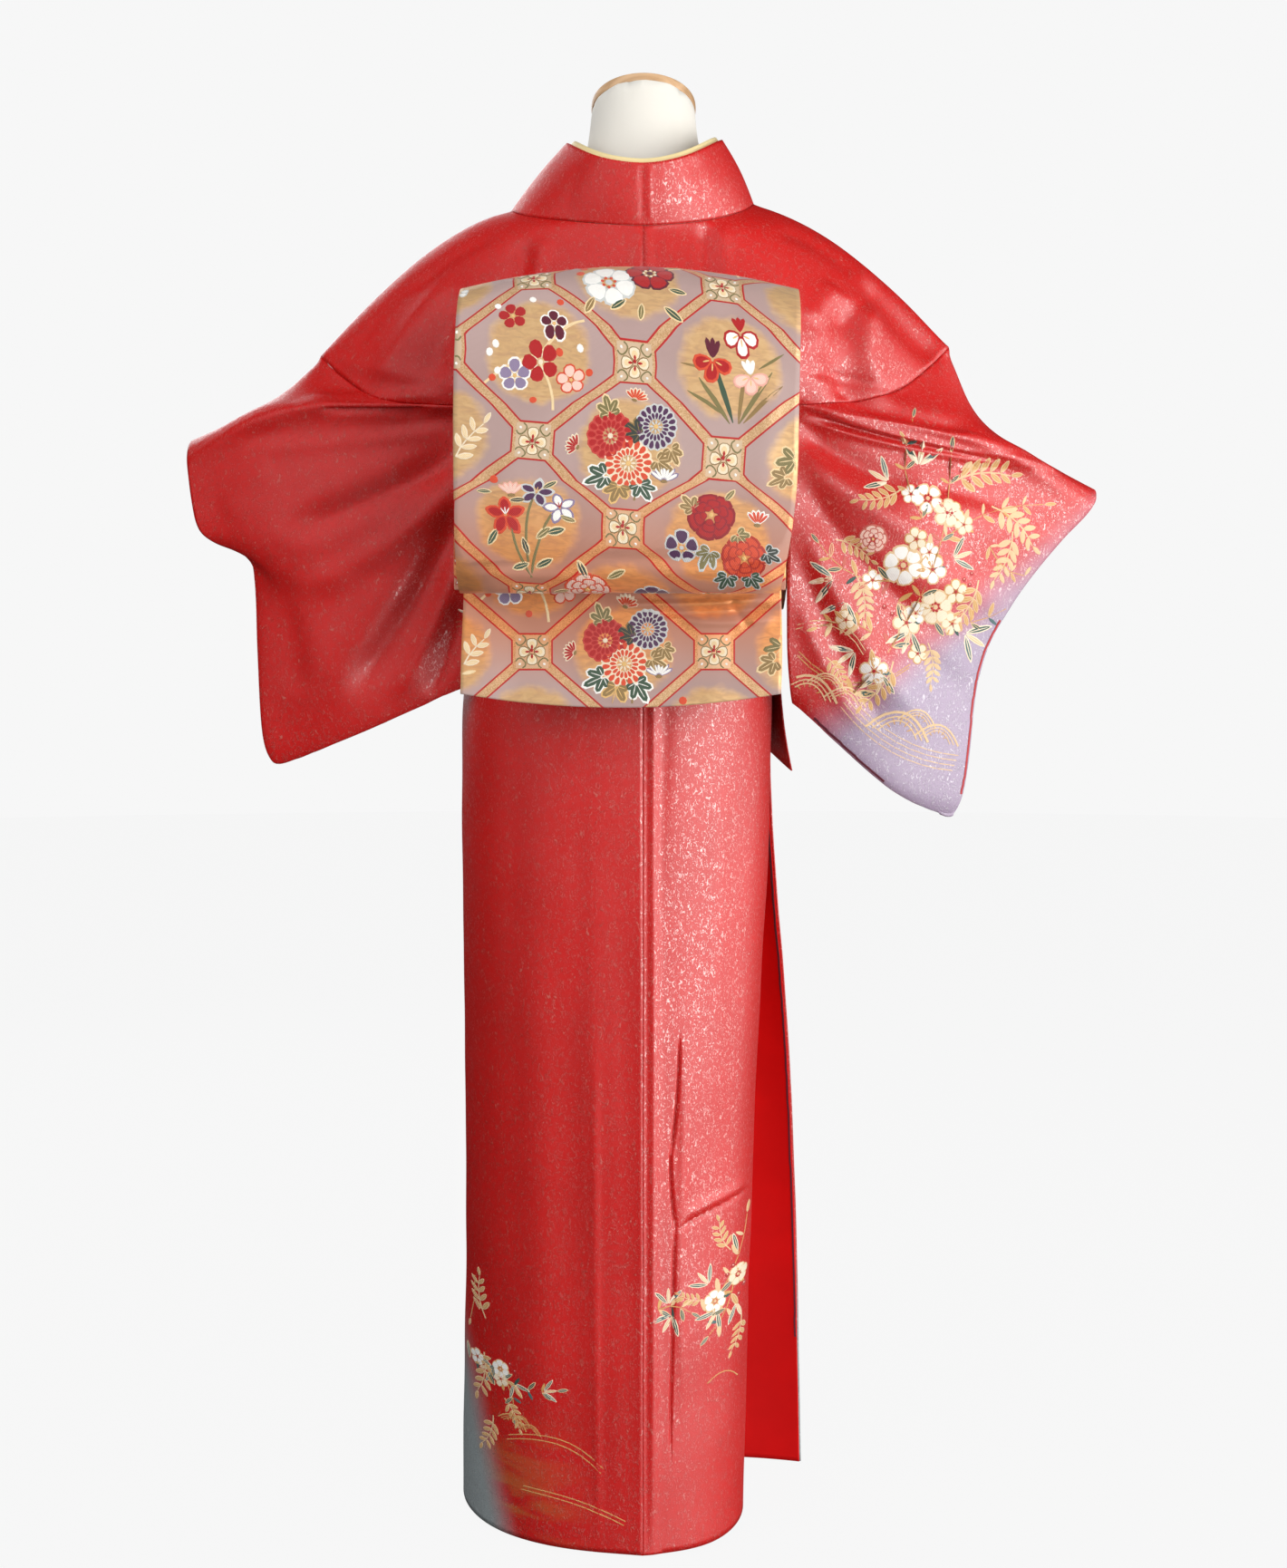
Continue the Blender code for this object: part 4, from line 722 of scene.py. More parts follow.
def press(piece, back, front, soft=SOFT_DEPTH):
    """Move a sheet's points along their normals by the creases and by a soft unevenness."""
    data = piece.data
    count = len(data.vertices)
    points = np.zeros(count * 3)
    normals = np.zeros(count * 3)
    data.vertices.foreach_get("co", points)
    data.vertices.foreach_get("normal", normals)
    points, normals = points.reshape(-1, 3), normals.reshape(-1, 3)
    behind = soft_step(-normals[:, 1], 0.0, TURNED)
    ahead = soft_step(normals[:, 1], 0.0, TURNED)
    height = crease_heights(points, back) * behind + crease_heights(points, front) * ahead
    height += [noise.noise(Vector(point) / SOFT_SCALE) * soft for point in points]
    data.vertices.foreach_set("co", (points + normals * height[:, None]).ravel())
    data.update()


def give_wall(piece, thickness):
    """Wall on the sheet's inner side."""
    wall = piece.modifiers.new("wall", "SOLIDIFY")
    wall.thickness = thickness
    wall.offset = -1


SEAM_REACH = 0.0045
SLEEVE_REACH = 0.0110
SEAM_GAP = 0.0003
SEAM_EASE = 0.012


def open_edges(data):
    """Pairs of points on a sheet's open edge."""
    mesh = bmesh.new()
    mesh.from_mesh(data)
    pairs = [tuple(vertex.index for vertex in edge.verts) for edge in mesh.edges if edge.is_boundary]
    mesh.free()
    return pairs


def sew(piece, other, reach=SEAM_REACH):
    """Bring a sheet's edge to its neighbour's edge, and ease the cloth beside it."""
    data, target = piece.data, other.data
    runs = open_edges(target)
    tree = KDTree(len(runs))
    for number, (first, second) in enumerate(runs):
        tree.insert((target.vertices[first].co + target.vertices[second].co) / 2, number)
    tree.balance()
    moves = {}
    for index in {vertex for pair in open_edges(data) for vertex in pair}:
        place = data.vertices[index].co
        best = None
        for _, number, _ in tree.find_n(place, 3):
            first, second = (target.vertices[end].co for end in runs[number])
            run = second - first
            share = min(max((place - first).dot(run) / max(run.length_squared, 1e-12), 0), 1)
            away = first.lerp(second, share) - place
            best = away if best is None or away.length < best.length else best
        if SEAM_GAP < best.length < reach:
            moves[index] = best * (1 - SEAM_GAP / best.length)
    if not moves:
        return
    near = KDTree(len(moves))
    for index in moves:
        near.insert(data.vertices[index].co, index)
    near.balance()
    for vertex in data.vertices:
        _, index, distance = near.find(vertex.co)
        if distance < SEAM_EASE:
            vertex.co += moves[index] * (1 - distance / SEAM_EASE) ** 2
    widest = max(move.length for move in moves.values())
    print(f"sewn {piece.name} to {other.name}: {len(moves)} points, most {widest * 1000:.1f} mm")


# %% [markdown]
# ## Give each piece its material and attach it
# A kimono is cut from one narrow bolt of silk, so every piece is a rectangle. The flat sizes here are
# those of the part of each rectangle that shows.

# %% Hand a piece to the frame


def dress(piece, finish):
    """Give a piece its one material, and say how large it is."""
    piece.data.materials.clear()
    piece.data.materials.append(finish)
    faces = piece.data.polygons
    print(f"{piece.name}: {len(faces)} faces, {sum(face.area for face in faces):.3f} square metres")


def declare(piece, nodes):
    """Say what a piece rides on, and hide the CAD nodes that it stands for."""
    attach(piece, "root")
    if nodes:
        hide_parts(*nodes)


def cloth(name, node, wall, levels, finish, creases, fine=()):
    """A cloth piece's outer sheet from its CAD wall, rounded and creased."""
    piece = rounded(name, outer_sheet(node, wall), levels)
    for boxes in fine:
        refine(piece, boxes)
    press(piece, *creases)
    dress(piece, finish)
    return piece


# %% [markdown]
# ## Skirt, body and sleeves
# The lower body is two back panels, a front panel each side and a narrow overlap panel on each front. The
# upper body is one panel a side over the shoulder, with a sleeve bag sewn to it.

# %% Make the kimono's panels
WALL = 0.0016
Panel = namedtuple("Panel", "node wall levels finish creases flat fine rests")
SHARP_BOXES = (
    ((0.018, 0.080, 0.050, 0.520), (0.030, 0.310, 0.112, 0.366), (0.000, 0.000, 0.018, 0.930)),
    ((0.024, 0.086, 0.043, 0.512), (0.030, 0.316, 0.112, 0.358)),
)
BODICE_BOXES = (((-0.400, 1.080, 0.400, 1.400),),)
SLEEVE_BOXES = (
    ((-0.500, 0.700, 0.500, 1.200),),
    ((0.140, 1.055, 0.420, 1.130), (-0.350, 1.100, -0.180, 1.140)),
)
UPPER = (UPPER_BACK, UPPER_FRONT)
SKIRT = (SKIRT_BACK, SKIRT_FRONT)
PLAIN = ((), ())
PANELS = [
    Panel("skirt_back_left", WALL, 3, crepe_hem, SKIRT, (0.29, 0.93), (), "form_torso"),
    Panel("skirt_back_right", WALL, 3, crepe_hem, SKIRT, (0.29, 0.93), SHARP_BOXES, "form_torso"),
    Panel("skirt_front_right", WALL, 2, crepe_red, PLAIN, (0.20, 0.93), (), "form_torso"),
    Panel("okumi_right", WALL, 2, crepe_red, PLAIN, (0.18, 0.93), (), "form_torso"),
    Panel("skirt_front_left", WALL, 2, crepe_hem, SKIRT, (0.27, 0.93), (), "skirt_front_right"),
    Panel("okumi_left", WALL, 2, crepe_hem, SKIRT, (0.13, 0.92), (), "skirt_front_left"),
    Panel("bodice_left", WALL, 2, crepe_red, UPPER, (0.30, 0.68), BODICE_BOXES, "form_torso"),
    Panel("bodice_right", WALL, 2, crepe_red, UPPER, (0.30, 0.66), BODICE_BOXES, "form_torso"),
    Panel("sleeve_left", WALL, 2, crepe_red, UPPER, (0.30, 0.74), SLEEVE_BOXES, "bodice_left"),
    Panel("sleeve_right", WALL, 2, crepe_sleeve, UPPER, (0.30, 0.80), SLEEVE_BOXES, "bodice_right"),
    Panel("ohashori_back", 0.0022, 3, crepe_red, PLAIN, (0.40, 0.09), (), "skirt_back_left"),
    Panel("ohashori_front", 0.0022, 2, crepe_red, PLAIN, (0.38, 0.105), (), "skirt_front_left"),
]
pieces = {}
for row in PANELS:
    pieces[row.node] = cloth("silk_" + row.node, row.node, row.wall, row.levels, row.finish, row.creases,
                             row.fine)

# %% [markdown]
# The lining shows only on the inner side of the wrapped front. The collar is a band folded double, and a
# thin gold strip shows inside its top edge.

# %% Make the lining, the collar and its strip
COLLAR_CREASES = [
    Crease(0.0000, 1.345, 0.0010, 1.288, 0.0010, 0.0022, -0.0024, 0.2),
    Crease(0.0050, 1.345, 0.0060, 1.288, 0.0010, 0.0030, 0.0012, 0.2),
    Crease(-0.060, 1.350, -0.075, 1.300, 0.0020, 0.0070, -0.0012, 0.3),
    Crease(0.050, 1.352, 0.064, 1.302, 0.0020, 0.0070, -0.0012, 0.3),
]
pieces["okumi_left_lining"] = cloth("lining_okumi_left", "okumi_left_lining", 0.0010, 3, lining_red, PLAIN)
pieces["collar"] = cloth("silk_collar", "collar", 0.0024, 3, crepe_red, (COLLAR_CREASES, ()))
pieces["kasane_eri"] = cloth("collar_strip", "kasane_eri", 0.0010, 2, collar_gold, PLAIN)

# %% [markdown]
# The pieces are sewn before they get their wall: each edge is drawn to its neighbour's edge, with a
# thread's width between them.

# %% Sew the seams
SEAMS = [
    ("skirt_back_right", "skirt_back_left"), ("skirt_front_left", "skirt_back_left"),
    ("okumi_left", "skirt_front_left"), ("skirt_front_right", "skirt_back_right"),
    ("okumi_right", "skirt_front_right"), ("bodice_right", "bodice_left"), ("bodice_left", "collar"),
    ("bodice_right", "collar"), ("sleeve_left", "bodice_left"), ("sleeve_right", "bodice_right"),
]
for first, second in SEAMS:
    sew(pieces[first], pieces[second], SLEEVE_REACH if first.startswith("sleeve") else SEAM_REACH)
SILK_THICKNESS = 0.0013
OTHER_THICKNESS = {"okumi_left_lining": 0.0008, "kasane_eri": 0.0008, "collar": 0.0022}
for node, piece in pieces.items():
    give_wall(piece, OTHER_THICKNESS.get(node, SILK_THICKNESS))

for row in PANELS:
    declare(pieces[row.node], [row.node])
declare(pieces["okumi_left_lining"], ["okumi_left_lining"])
declare(pieces["collar"], ["collar"])
declare(pieces["kasane_eri"], ["kasane_eri"])

# %% [markdown]
# ## The obi
# The obi is one long band. It goes round the waist folded in half, then makes the drum: up, over a
# pillow, down the back and under again, with its end as a flap below. The cloth's pattern is laid in
# metres along that path, and the rows of squares on the drum stand where the photo shows them, turned a
# little.

# %% Measure the drum's path
DRUM_PATH = [
    (-0.1268, 1.020), (-0.1288, 1.090), (-0.1338, 1.150), (-0.1480, 1.205), (-0.1830, 1.233),
    (-0.2240, 1.216), (-0.2450, 1.170), (-0.2540, 1.100), (-0.2540, 1.030), (-0.2450, 0.975),
    (-0.2280, 0.942), (-0.2080, 0.932), (-0.1900, 0.942), (-0.1810, 0.975), (-0.1806, 1.030),
]
DRUM_EYE = (-0.190, 1.080)
FLAT_BACK_ROW = 7
FRONT_TURN = math.radians(300)
PATTERN_X, PATTERN_V = -0.0072, 1.1426
ROW_TURN = 0.091
ROW_NUMBERS = (-6.0, -2.0, -1.0, 0.0, 1.0, 6.0)
ROW_PLACES = (-0.4560, -0.1576, -0.0899, 0.0, 0.0805, 0.4535)
ROW_SHIFTS = (-0.0113, -0.0113, -0.0065, 0.0, -0.0070, -0.0070)
FLAP_X, FLAP_Z = -0.0190, 0.8055
BAND_Z = 1.009
BAND_HALF_X, BAND_HALF_Y, BAND_X = 0.168, 0.127, -0.010


def turn_of(y, z):
    """Angle round the drum's middle, growing from its front edge over the top to the back."""
    return math.atan2(z - DRUM_EYE[1], y - DRUM_EYE[0]) % (2 * math.pi)


path_turns, path_places = [], []
travelled = 0.0
for number, (y, z) in enumerate(DRUM_PATH):
    if number:
        travelled += math.dist((y, z), DRUM_PATH[number - 1])
    turn = turn_of(y, z)
    path_turns.append(turn - 2 * math.pi if number < 2 and turn > math.pi else turn)
    path_places.append(travelled)
drop = path_places[FLAT_BACK_ROW] + DRUM_PATH[FLAT_BACK_ROW][1]
path_places = [drop - place for place in path_places]
print("Drum path", round(travelled, 3), "m, from", round(path_places[0], 3), "to",
      round(path_places[-1], 3))

ellipse_turns = [math.radians(step) for step in range(-180, 181, 4)]
ellipse_places = [0.0]
for first, second in zip(ellipse_turns, ellipse_turns[1:]):
    ends = [(BAND_HALF_X * math.sin(turn), BAND_HALF_Y * math.cos(turn)) for turn in (first, second)]
    ellipse_places.append(ellipse_places[-1] + math.dist(*ends))
ellipse_places = [place - ellipse_places[-1] / 2 for place in ellipse_places]


# %% Lay the pattern on each stretch of the obi
def drum_uv(point):
    turn = turn_of(point.y, point.z)
    turn = turn - 2 * math.pi if turn > FRONT_TURN else turn
    across = point.x - PATTERN_X
    up = np.interp(turn, path_turns, path_places) - PATTERN_V
    row = np.interp(up + ROW_TURN * across, ROW_PLACES, ROW_NUMBERS)
    return across - np.interp(row, ROW_NUMBERS, ROW_SHIFTS), row * LATTICE_V


def flap_uv(point):
    return point.x - FLAP_X, point.z - FLAP_Z


def band_uv(point):
    turn = math.atan2(-(point.x - BAND_X) / BAND_HALF_X, point.y / BAND_HALF_Y)
    return float(np.interp(turn, ellipse_turns, ellipse_places)), point.z - BAND_Z


def end_uv(point):
    return point.x + 0.19, point.z - 0.96 + point.y + 0.2


def lay_pattern(piece, mapping):
    """Pattern coordinates in metres, one pair a corner."""
    layer = piece.data.uv_layers.get("cloth") or piece.data.uv_layers.new(name="cloth")
    places = [mapping(vertex.co) for vertex in piece.data.vertices]
    for corner in piece.data.loops:
        layer.data[corner.index].uv = places[corner.vertex_index]


def search_tree(data):
    """Search tree of a mesh's faces, for rays that look for the cloth."""
    return BVHTree.FromPolygons([vertex.co.copy() for vertex in data.vertices],
                                [tuple(face.vertices) for face in data.polygons])


DRUM_CREASES = [
    Crease(-0.150, 0.952, -0.020, 0.948, 0.003, 0.0050, 0.0020, 0.2),
    Crease(-0.060, 0.962, 0.120, 0.955, -0.003, 0.0060, -0.0018, 0.2),
    Crease(0.010, 0.944, 0.120, 0.968, 0.003, 0.0060, 0.0026, 0.2),
    Crease(0.118, 1.130, 0.104, 0.990, 0.003, 0.0120, 0.0018, 0.4),
    Crease(-0.140, 1.060, -0.136, 0.960, 0.003, 0.0140, -0.0014, 0.4),
    Crease(-0.120, 1.190, -0.040, 1.180, 0.004, 0.0160, 0.0012, 0.4),
]
FLAP_CREASES = [
    Crease(-0.030, 0.925, 0.125, 0.930, 0.003, 0.0036, 0.0042, 0.1),
    Crease(0.000, 0.916, 0.125, 0.921, 0.002, 0.0034, -0.0040, 0.1),
    Crease(0.036, 0.909, 0.125, 0.911, 0.003, 0.0040, 0.0030, 0.1),
    Crease(0.080, 0.930, 0.100, 0.902, 0.002, 0.0040, -0.0020, 0.1),
    Crease(-0.150, 0.926, -0.030, 0.918, -0.003, 0.0060, 0.0014, 0.3),
    Crease(-0.120, 0.915, -0.118, 0.830, 0.004, 0.0160, -0.0012, 0.2),
    Crease(0.060, 0.915, 0.066, 0.826, -0.004, 0.0160, 0.0012, 0.2),
]
FLAP_BOXES = ((-0.060, 0.895, 0.140, 0.940),)
OBI_WALL, OBI_THICKNESS, OBI_SOFT = 0.0026, 0.0022, 0.0006
Stretch = namedtuple("Stretch", "node name levels facing creases mapping fine flat rests held")
OBI = [
    Stretch("obi_taiko", "obi_drum", 3, None, (DRUM_CREASES, ()), drum_uv, (),
            (0.31, 0.70), ["obi_band"], "folded"),
    Stretch("obi_tare", "obi_flap", 3, (0, -1, 0), (FLAP_CREASES, ()), flap_uv, FLAP_BOXES,
            (0.30, 0.18), ["ohashori_back"], "hung"),
    Stretch("obi_band", "obi_band_wound", 2, None, PLAIN, band_uv, (),
            (0.155, 0.95), ["bodice_left", "bodice_right"], "folded"),
]
obi_sheets = {}
for row in OBI:
    piece = rounded(row.name, outer_sheet(row.node, OBI_WALL, row.facing), row.levels)
    if row.fine:
        refine(piece, row.fine)
    press(piece, *row.creases, soft=OBI_SOFT)
    lay_pattern(piece, row.mapping)
    obi_sheets[row.node] = search_tree(piece.data)
    give_wall(piece, OBI_THICKNESS)
    dress(piece, obi_brocade)
    pieces[row.node] = piece
    declare(piece, [row.node])

# %% [markdown]
# The obi's other end is tucked through the drum, so only its folded tip shows beside the drum's foot.

# %% Make the folded end
EDGE_HOLD = 0.85
SOLID_LEVELS = 2


def solid_copy(name, node, finish, crease_angle):
    """Rounded closed copy of a CAD solid."""
    mesh = merged(node)
    into_quads(mesh)
    creases = mesh.edges.layers.float.get("crease_edge") or mesh.edges.layers.float.new("crease_edge")
    for edge in mesh.edges:
        if edge.is_manifold and edge.calc_face_angle() > crease_angle:
            edge[creases] = EDGE_HOLD
    piece = rounded(name, mesh, SOLID_LEVELS)
    dress(piece, finish)
    return piece


te = solid_copy("obi_end", "obi_te", obi_brocade, math.radians(50))
lay_pattern(te, end_uv)
declare(te, ["obi_te"])
pieces["obi_te"] = te

# %% [markdown]
# ## Small raised shapes
# A float of embroidery is a low closed shape: a cone cut flat, whose ring is pulled into a petal, a leaf
# or a dot and then laid on the cloth by a ray. A Brush holds a place, a turn and a size, so a flower can
# be drawn once in its own measure and set down anywhere.

# %% Make the brush
Ground = namedtuple("Ground", "tree aim")
SUNK = -0.0003
RAISED = 0.00022
STACK = 0.00009
DAB_TOP = 0.86
DAB_CROWN = 1.12
NOTCH_SPREAD = 0.45
STITCH_LAP = 0.25


class Brush:
    """Lays small closed shapes on a ground, in its own turned and scaled frame."""

    def __init__(self, mesh, ground, centre=(0.0, 0.0), turn=0.0, size=1.0):
        self.mesh, self.ground, self.centre, self.turn, self.size = mesh, ground, centre, turn, size

    def spot(self, across, up):
        cosine, sine = math.cos(self.turn) * self.size, math.sin(self.turn) * self.size
        return (self.centre[0] + across * cosine - up * sine, self.centre[1] + across * sine + up * cosine)

    def at(self, across, up, turn=0.0, size=1.0):
        centre = self.spot(across, up)
        return Brush(self.mesh, self.ground, centre, self.turn + math.radians(turn), self.size * size)

    def dab(self, across, up, turn, length, width, dye, tip=0.0, point=1.0, notch=0.0, layer=0, sides=10):
        """One shape from a root point, turned in degrees. tip widens its far end, point sharpens both."""
        made = bmesh.ops.create_cone(self.mesh, cap_ends=True, cap_tris=True, segments=sides, radius1=1.0,
                                     radius2=DAB_TOP, depth=1.0)["verts"]
        frame_here = self.at(across, up, turn)
        reach = (length + width) * self.size + RAISED
        first = None
        for vertex in made:
            ring = math.hypot(vertex.co.x, vertex.co.y)
            angle = math.atan2(vertex.co.y, vertex.co.x) if ring > 0.01 else 0.0
            if sides == 4:
                ring, angle = ring * math.sqrt(2), angle + math.pi / 4
            forward = ring * math.cos(angle)
            sideways = math.copysign(abs(math.sin(angle)) ** point, math.sin(angle))
            side = ring * sideways * (1 + tip * forward)
            forward -= notch * ring * math.exp(-(angle / NOTCH_SPREAD) ** 2)
            top = vertex.co.z > 0
            spot = frame_here.spot(length * (1 + forward) / 2, width * side / 2)
            origin, direction = self.ground.aim(*spot)
            hit, normal, _, _ = self.ground.tree.ray_cast(origin, direction)
            first = hit if first is None else first
            if hit is None or (hit - first).length > reach:
                bmesh.ops.delete(self.mesh, geom=made, context="VERTS")
                return
            if normal.dot(direction) > 0:
                normal = -normal
            lift = RAISED + STACK * layer if top else SUNK
            vertex.co = hit + normal * (lift * (DAB_CROWN if top and ring < 0.01 else 1.0))
        layer_here = self.mesh.loops.layers.float_color["dye"]
        for face in {face for vertex in made for face in vertex.link_faces}:
            for corner in face.loops:
                corner[layer_here] = (*dye, 1.0)

    def line(self, path, width, dye, layer=0, taper=0.0):
        """A run of overlapping stitches along points."""
        for number, (start, end) in enumerate(zip(path, path[1:])):
            run = math.dist(start, end)
            turn = math.degrees(math.atan2(end[1] - start[1], end[0] - start[0]))
            thin = 1 - taper * number / max(len(path) - 1, 1)
            back = STITCH_LAP * width
            self.at(*start, turn).dab(-back, 0, 0, run + 2 * back, width * thin, dye, layer=layer, sides=4)


def arc(x0, y0, x1, y1, bow, steps=6):
    """Points on a bowed line."""
    points = []
    for step in range(steps + 1):
        share = step / steps
        push = bow * 4 * share * (1 - share)
        points.append((x0 + (x1 - x0) * share - (y1 - y0) * push,
                       y0 + (y1 - y0) * share + (x1 - x0) * push))
    return points


# %% [markdown]
# ## Dyes and flowers
# The flowers are common ones of the four seasons. Each function draws one flower with a radius of 1.

# %% Name the dyes
CRIMSON = (0.420, 0.014, 0.016)
VERMILION = (0.650, 0.075, 0.030)
MAROON = (0.120, 0.018, 0.035)
PURPLE = (0.085, 0.030, 0.085)
LILAC = (0.260, 0.200, 0.320)
WHITE = (0.860, 0.840, 0.800)
CREAM = (0.820, 0.700, 0.520)
PINK = (0.800, 0.400, 0.320)
BLUSH = (0.840, 0.560, 0.470)
GOLD = (0.740, 0.470, 0.180)
PALE_GOLD = (0.800, 0.600, 0.340)
BRONZE = (0.280, 0.180, 0.070)
OLIVE = (0.210, 0.175, 0.070)
GREEN = (0.055, 0.095, 0.060)
DARK = (0.045, 0.055, 0.045)
SILVER = (0.560, 0.570, 0.560)


# %% Draw the flowers
def plum(brush, dye, edge=None, heart=GOLD):
    """Five round petals and a ring of stamens."""
    for petal in range(5):
        turned = brush.at(0, 0, 90 + 72 * petal)
        if edge:
            turned.dab(0.06, 0, 0, 0.98, 0.92, edge, tip=0.22)
        turned.dab(0.14, 0, 0, 0.80, 0.72, dye, tip=0.22, layer=1)
        turned.at(0, 0, 36).dab(0.10, 0, 0, 0.34, 0.05, heart, layer=2, sides=6)
    brush.dab(-0.13, 0, 0, 0.26, 0.26, heart, layer=3, sides=8)


def blossom(brush, dye, inner, petals=6, heart=GOLD):
    """Open flower with notched petals and a full heart."""
    for petal in range(petals):
        turned = brush.at(0, 0, 90 + 360 / petals * petal)
        turned.dab(0.16, 0, 0, 0.84, 0.88, inner, tip=0.30, notch=0.10)
        turned.dab(0.22, 0, 0, 0.70, 0.70, dye, tip=0.30, notch=0.12, layer=1)
    for dot in range(7):
        brush.at(0, 0, 51 * dot).dab(0.16, 0, 0, 0.13, 0.13, heart, layer=3, sides=6)
    brush.dab(-0.14, 0, 0, 0.28, 0.28, inner, layer=2, sides=8)


def chrysanthemum(brush, dye, edge, count=16, heart=GOLD):
    """Rings of slender petals, each with a light edge."""
    for inner, outer, shift in ((0.52, 1.00, 0.0), (0.26, 0.66, 0.5)):
        for petal in range(count):
            turned = brush.at(0, 0, 360 / count * (petal + shift))
            width = 2 * math.pi * outer / count
            turned.dab(inner, 0, 0, outer - inner, width * 1.04, edge, tip=0.40,
                       layer=0 if shift == 0 else 2,
                       sides=8)
            turned.dab(inner + 0.03, 0, 0, (outer - inner) * 0.80, width * 0.66, dye, tip=0.40,
                       layer=1 if shift == 0 else 3, sides=8)
    for petal in range(8):
        brush.at(0, 0, 45 * petal).dab(0.08, 0, 0, 0.22, 0.10, edge, layer=4, sides=6)
    brush.dab(-0.12, 0, 0, 0.24, 0.24, heart, layer=5, sides=8)


def half_open(brush, dye, edge, petals=7):
    """Chrysanthemum bud from the side."""
    for petal in range(petals):
        lean = 90 + (petal - (petals - 1) / 2) * 20
        turned = brush.at(0, 0, lean)
        turned.dab(0.0, 0, 0, 1.0, 0.30, edge, tip=0.35, sides=8)
        turned.dab(0.1, 0, 0, 0.80, 0.18, dye, tip=0.35, layer=1, sides=8)
    brush.dab(-0.22, 0, 0, 0.44, 0.26, BRONZE, layer=2, sides=8)


def peony(brush, dye, edge, heart=GOLD):
    """Three rings of ruffled petals."""
    for ring, (reach, count) in enumerate(((1.00, 7), (0.74, 6), (0.46, 5))):
        for petal in range(count):
            turned = brush.at(0, 0, 360 / count * petal + 23 * ring)
            turned.dab(reach * 0.30, 0, 0, reach * 0.72, reach * 0.86, edge, tip=0.30, notch=0.12,
                       layer=2 * ring)
            turned.dab(reach * 0.34, 0, 0, reach * 0.58, reach * 0.66, dye, tip=0.30, notch=0.16,
                       layer=2 * ring + 1)
    brush.dab(-0.10, 0, 0, 0.20, 0.20, heart, layer=7, sides=8)


def bellflower(brush, dye, edge, heart=WHITE, petals=5):
    """Pointed petals with long stamens."""
    for petal in range(petals):
        turned = brush.at(0, 0, 90 + 360 / petals * petal)
        turned.dab(0.0, 0, 0, 1.0, 0.66, edge, point=1.5)
        turned.dab(0.08, 0, 0, 0.78, 0.46, dye, point=1.5, layer=1)
    for stamen in range(3):
        brush.at(0, 0, 60 + 30 * stamen).dab(0.0, 0, 0, 0.42, 0.07, heart, layer=2, sides=6)


def iris(brush, dye, edge, upright):
    """Three hanging petals and three upright ones."""
    for lean in (68, 90, 112):
        brush.at(0, 0.06, lean).dab(0.0, 0, 0, 0.74, 0.24, upright, tip=0.25, layer=1, sides=8)
    for lean, reach in ((200, 0.86), (340, 0.86), (270, 0.94)):
        turned = brush.at(0, 0, lean)
        turned.dab(0.0, 0, 0, reach, 0.66, edge, tip=0.34, layer=2)
        turned.dab(0.08, 0, 0, reach * 0.80, 0.50, dye, tip=0.34, layer=3)
        turned.dab(0.10, 0, 0, reach * 0.40, 0.08, GOLD, layer=4, sides=6)


def leaf(brush, dye, vein=None, width=0.42):
    """Pointed leaf of length 1."""
    brush.dab(0, 0, 0, 1.0, width, vein or dye, point=1.5)
    if vein:
        brush.dab(0.06, 0, 0, 0.88, width * 0.66, dye, point=1.5, layer=1)
        brush.dab(0.04, 0, 0, 0.84, 0.035, vein, layer=2, sides=6)


def lobed_leaf(brush, dye, vein):
    """Leaf with five round lobes."""
    for lean, reach in ((0, 1.0), (42, 0.76), (-42, 0.76), (88, 0.52), (-88, 0.52)):
        turned = brush.at(0.12, 0, lean)
        turned.dab(0, 0, 0, reach * 0.92, 0.40, vein, tip=0.15, sides=8)
        turned.dab(0.03, 0, 0, reach * 0.80, 0.30, dye, tip=0.15, layer=1, sides=8)
        turned.dab(0, 0, 0, reach * 0.70, 0.035, vein, layer=2, sides=6)


def sprig(brush, dye, vein, leaves=5, bow=0.1):
    """Bowed stem of length 1 with paired leaves."""
    path = arc(0, 0, 1, 0, bow, leaves + 1)
    brush.line(path, 0.035, vein, taper=0.5)
    for number, (across, up) in enumerate(path[1:]):
        size = 0.34 * (1 - 0.07 * number)
        for lean in ((48, -48) if number < leaves else (0,)):
            leaf(brush.at(across, up, lean, size), dye, vein)


def dots(brush, places, dye, size=0.09, layer=1):
    for across, up in places:
        brush.dab(across - size / 2, up, 0, size, size, dye, layer=layer, sides=8)


# %% [markdown]
# Each octagon holds one group of flowers. A group is drawn in units of its own radius.

# %% Draw the groups


def group_plum(brush):
    for start, end in (((-0.9, -0.5), (0.0, 0.0)), ((0.0, 0.0), (0.8, 0.5)), ((0.0, -0.1), (0.3, -0.9))):
        brush.line(arc(*start, *end, 0.08), 0.05, PALE_GOLD)
    plum(brush.at(-0.42, 0.55, 10, 0.27), CRIMSON)
    plum(brush.at(0.28, 0.42, 0, 0.25), MAROON, WHITE)
    plum(brush.at(0.02, -0.10, 24, 0.35), CRIMSON, heart=CREAM)
    plum(brush.at(-0.40, -0.34, 6, 0.29), LILAC, WHITE)
    plum(brush.at(0.56, -0.34, 14, 0.26), BLUSH, VERMILION)
    dots(brush, ((-0.75, 0.10), (-0.70, -0.28), (-0.05, 0.86), (-0.66, 0.76), (0.70, 0.14), (-0.86, -0.02)),
         WHITE, 0.13)
    dots(brush, ((0.42, 0.82), (0.86, -0.20), (-0.78, -0.40), (-0.05, -0.76),
                 (0.34, 0.06)), VERMILION, 0.14)


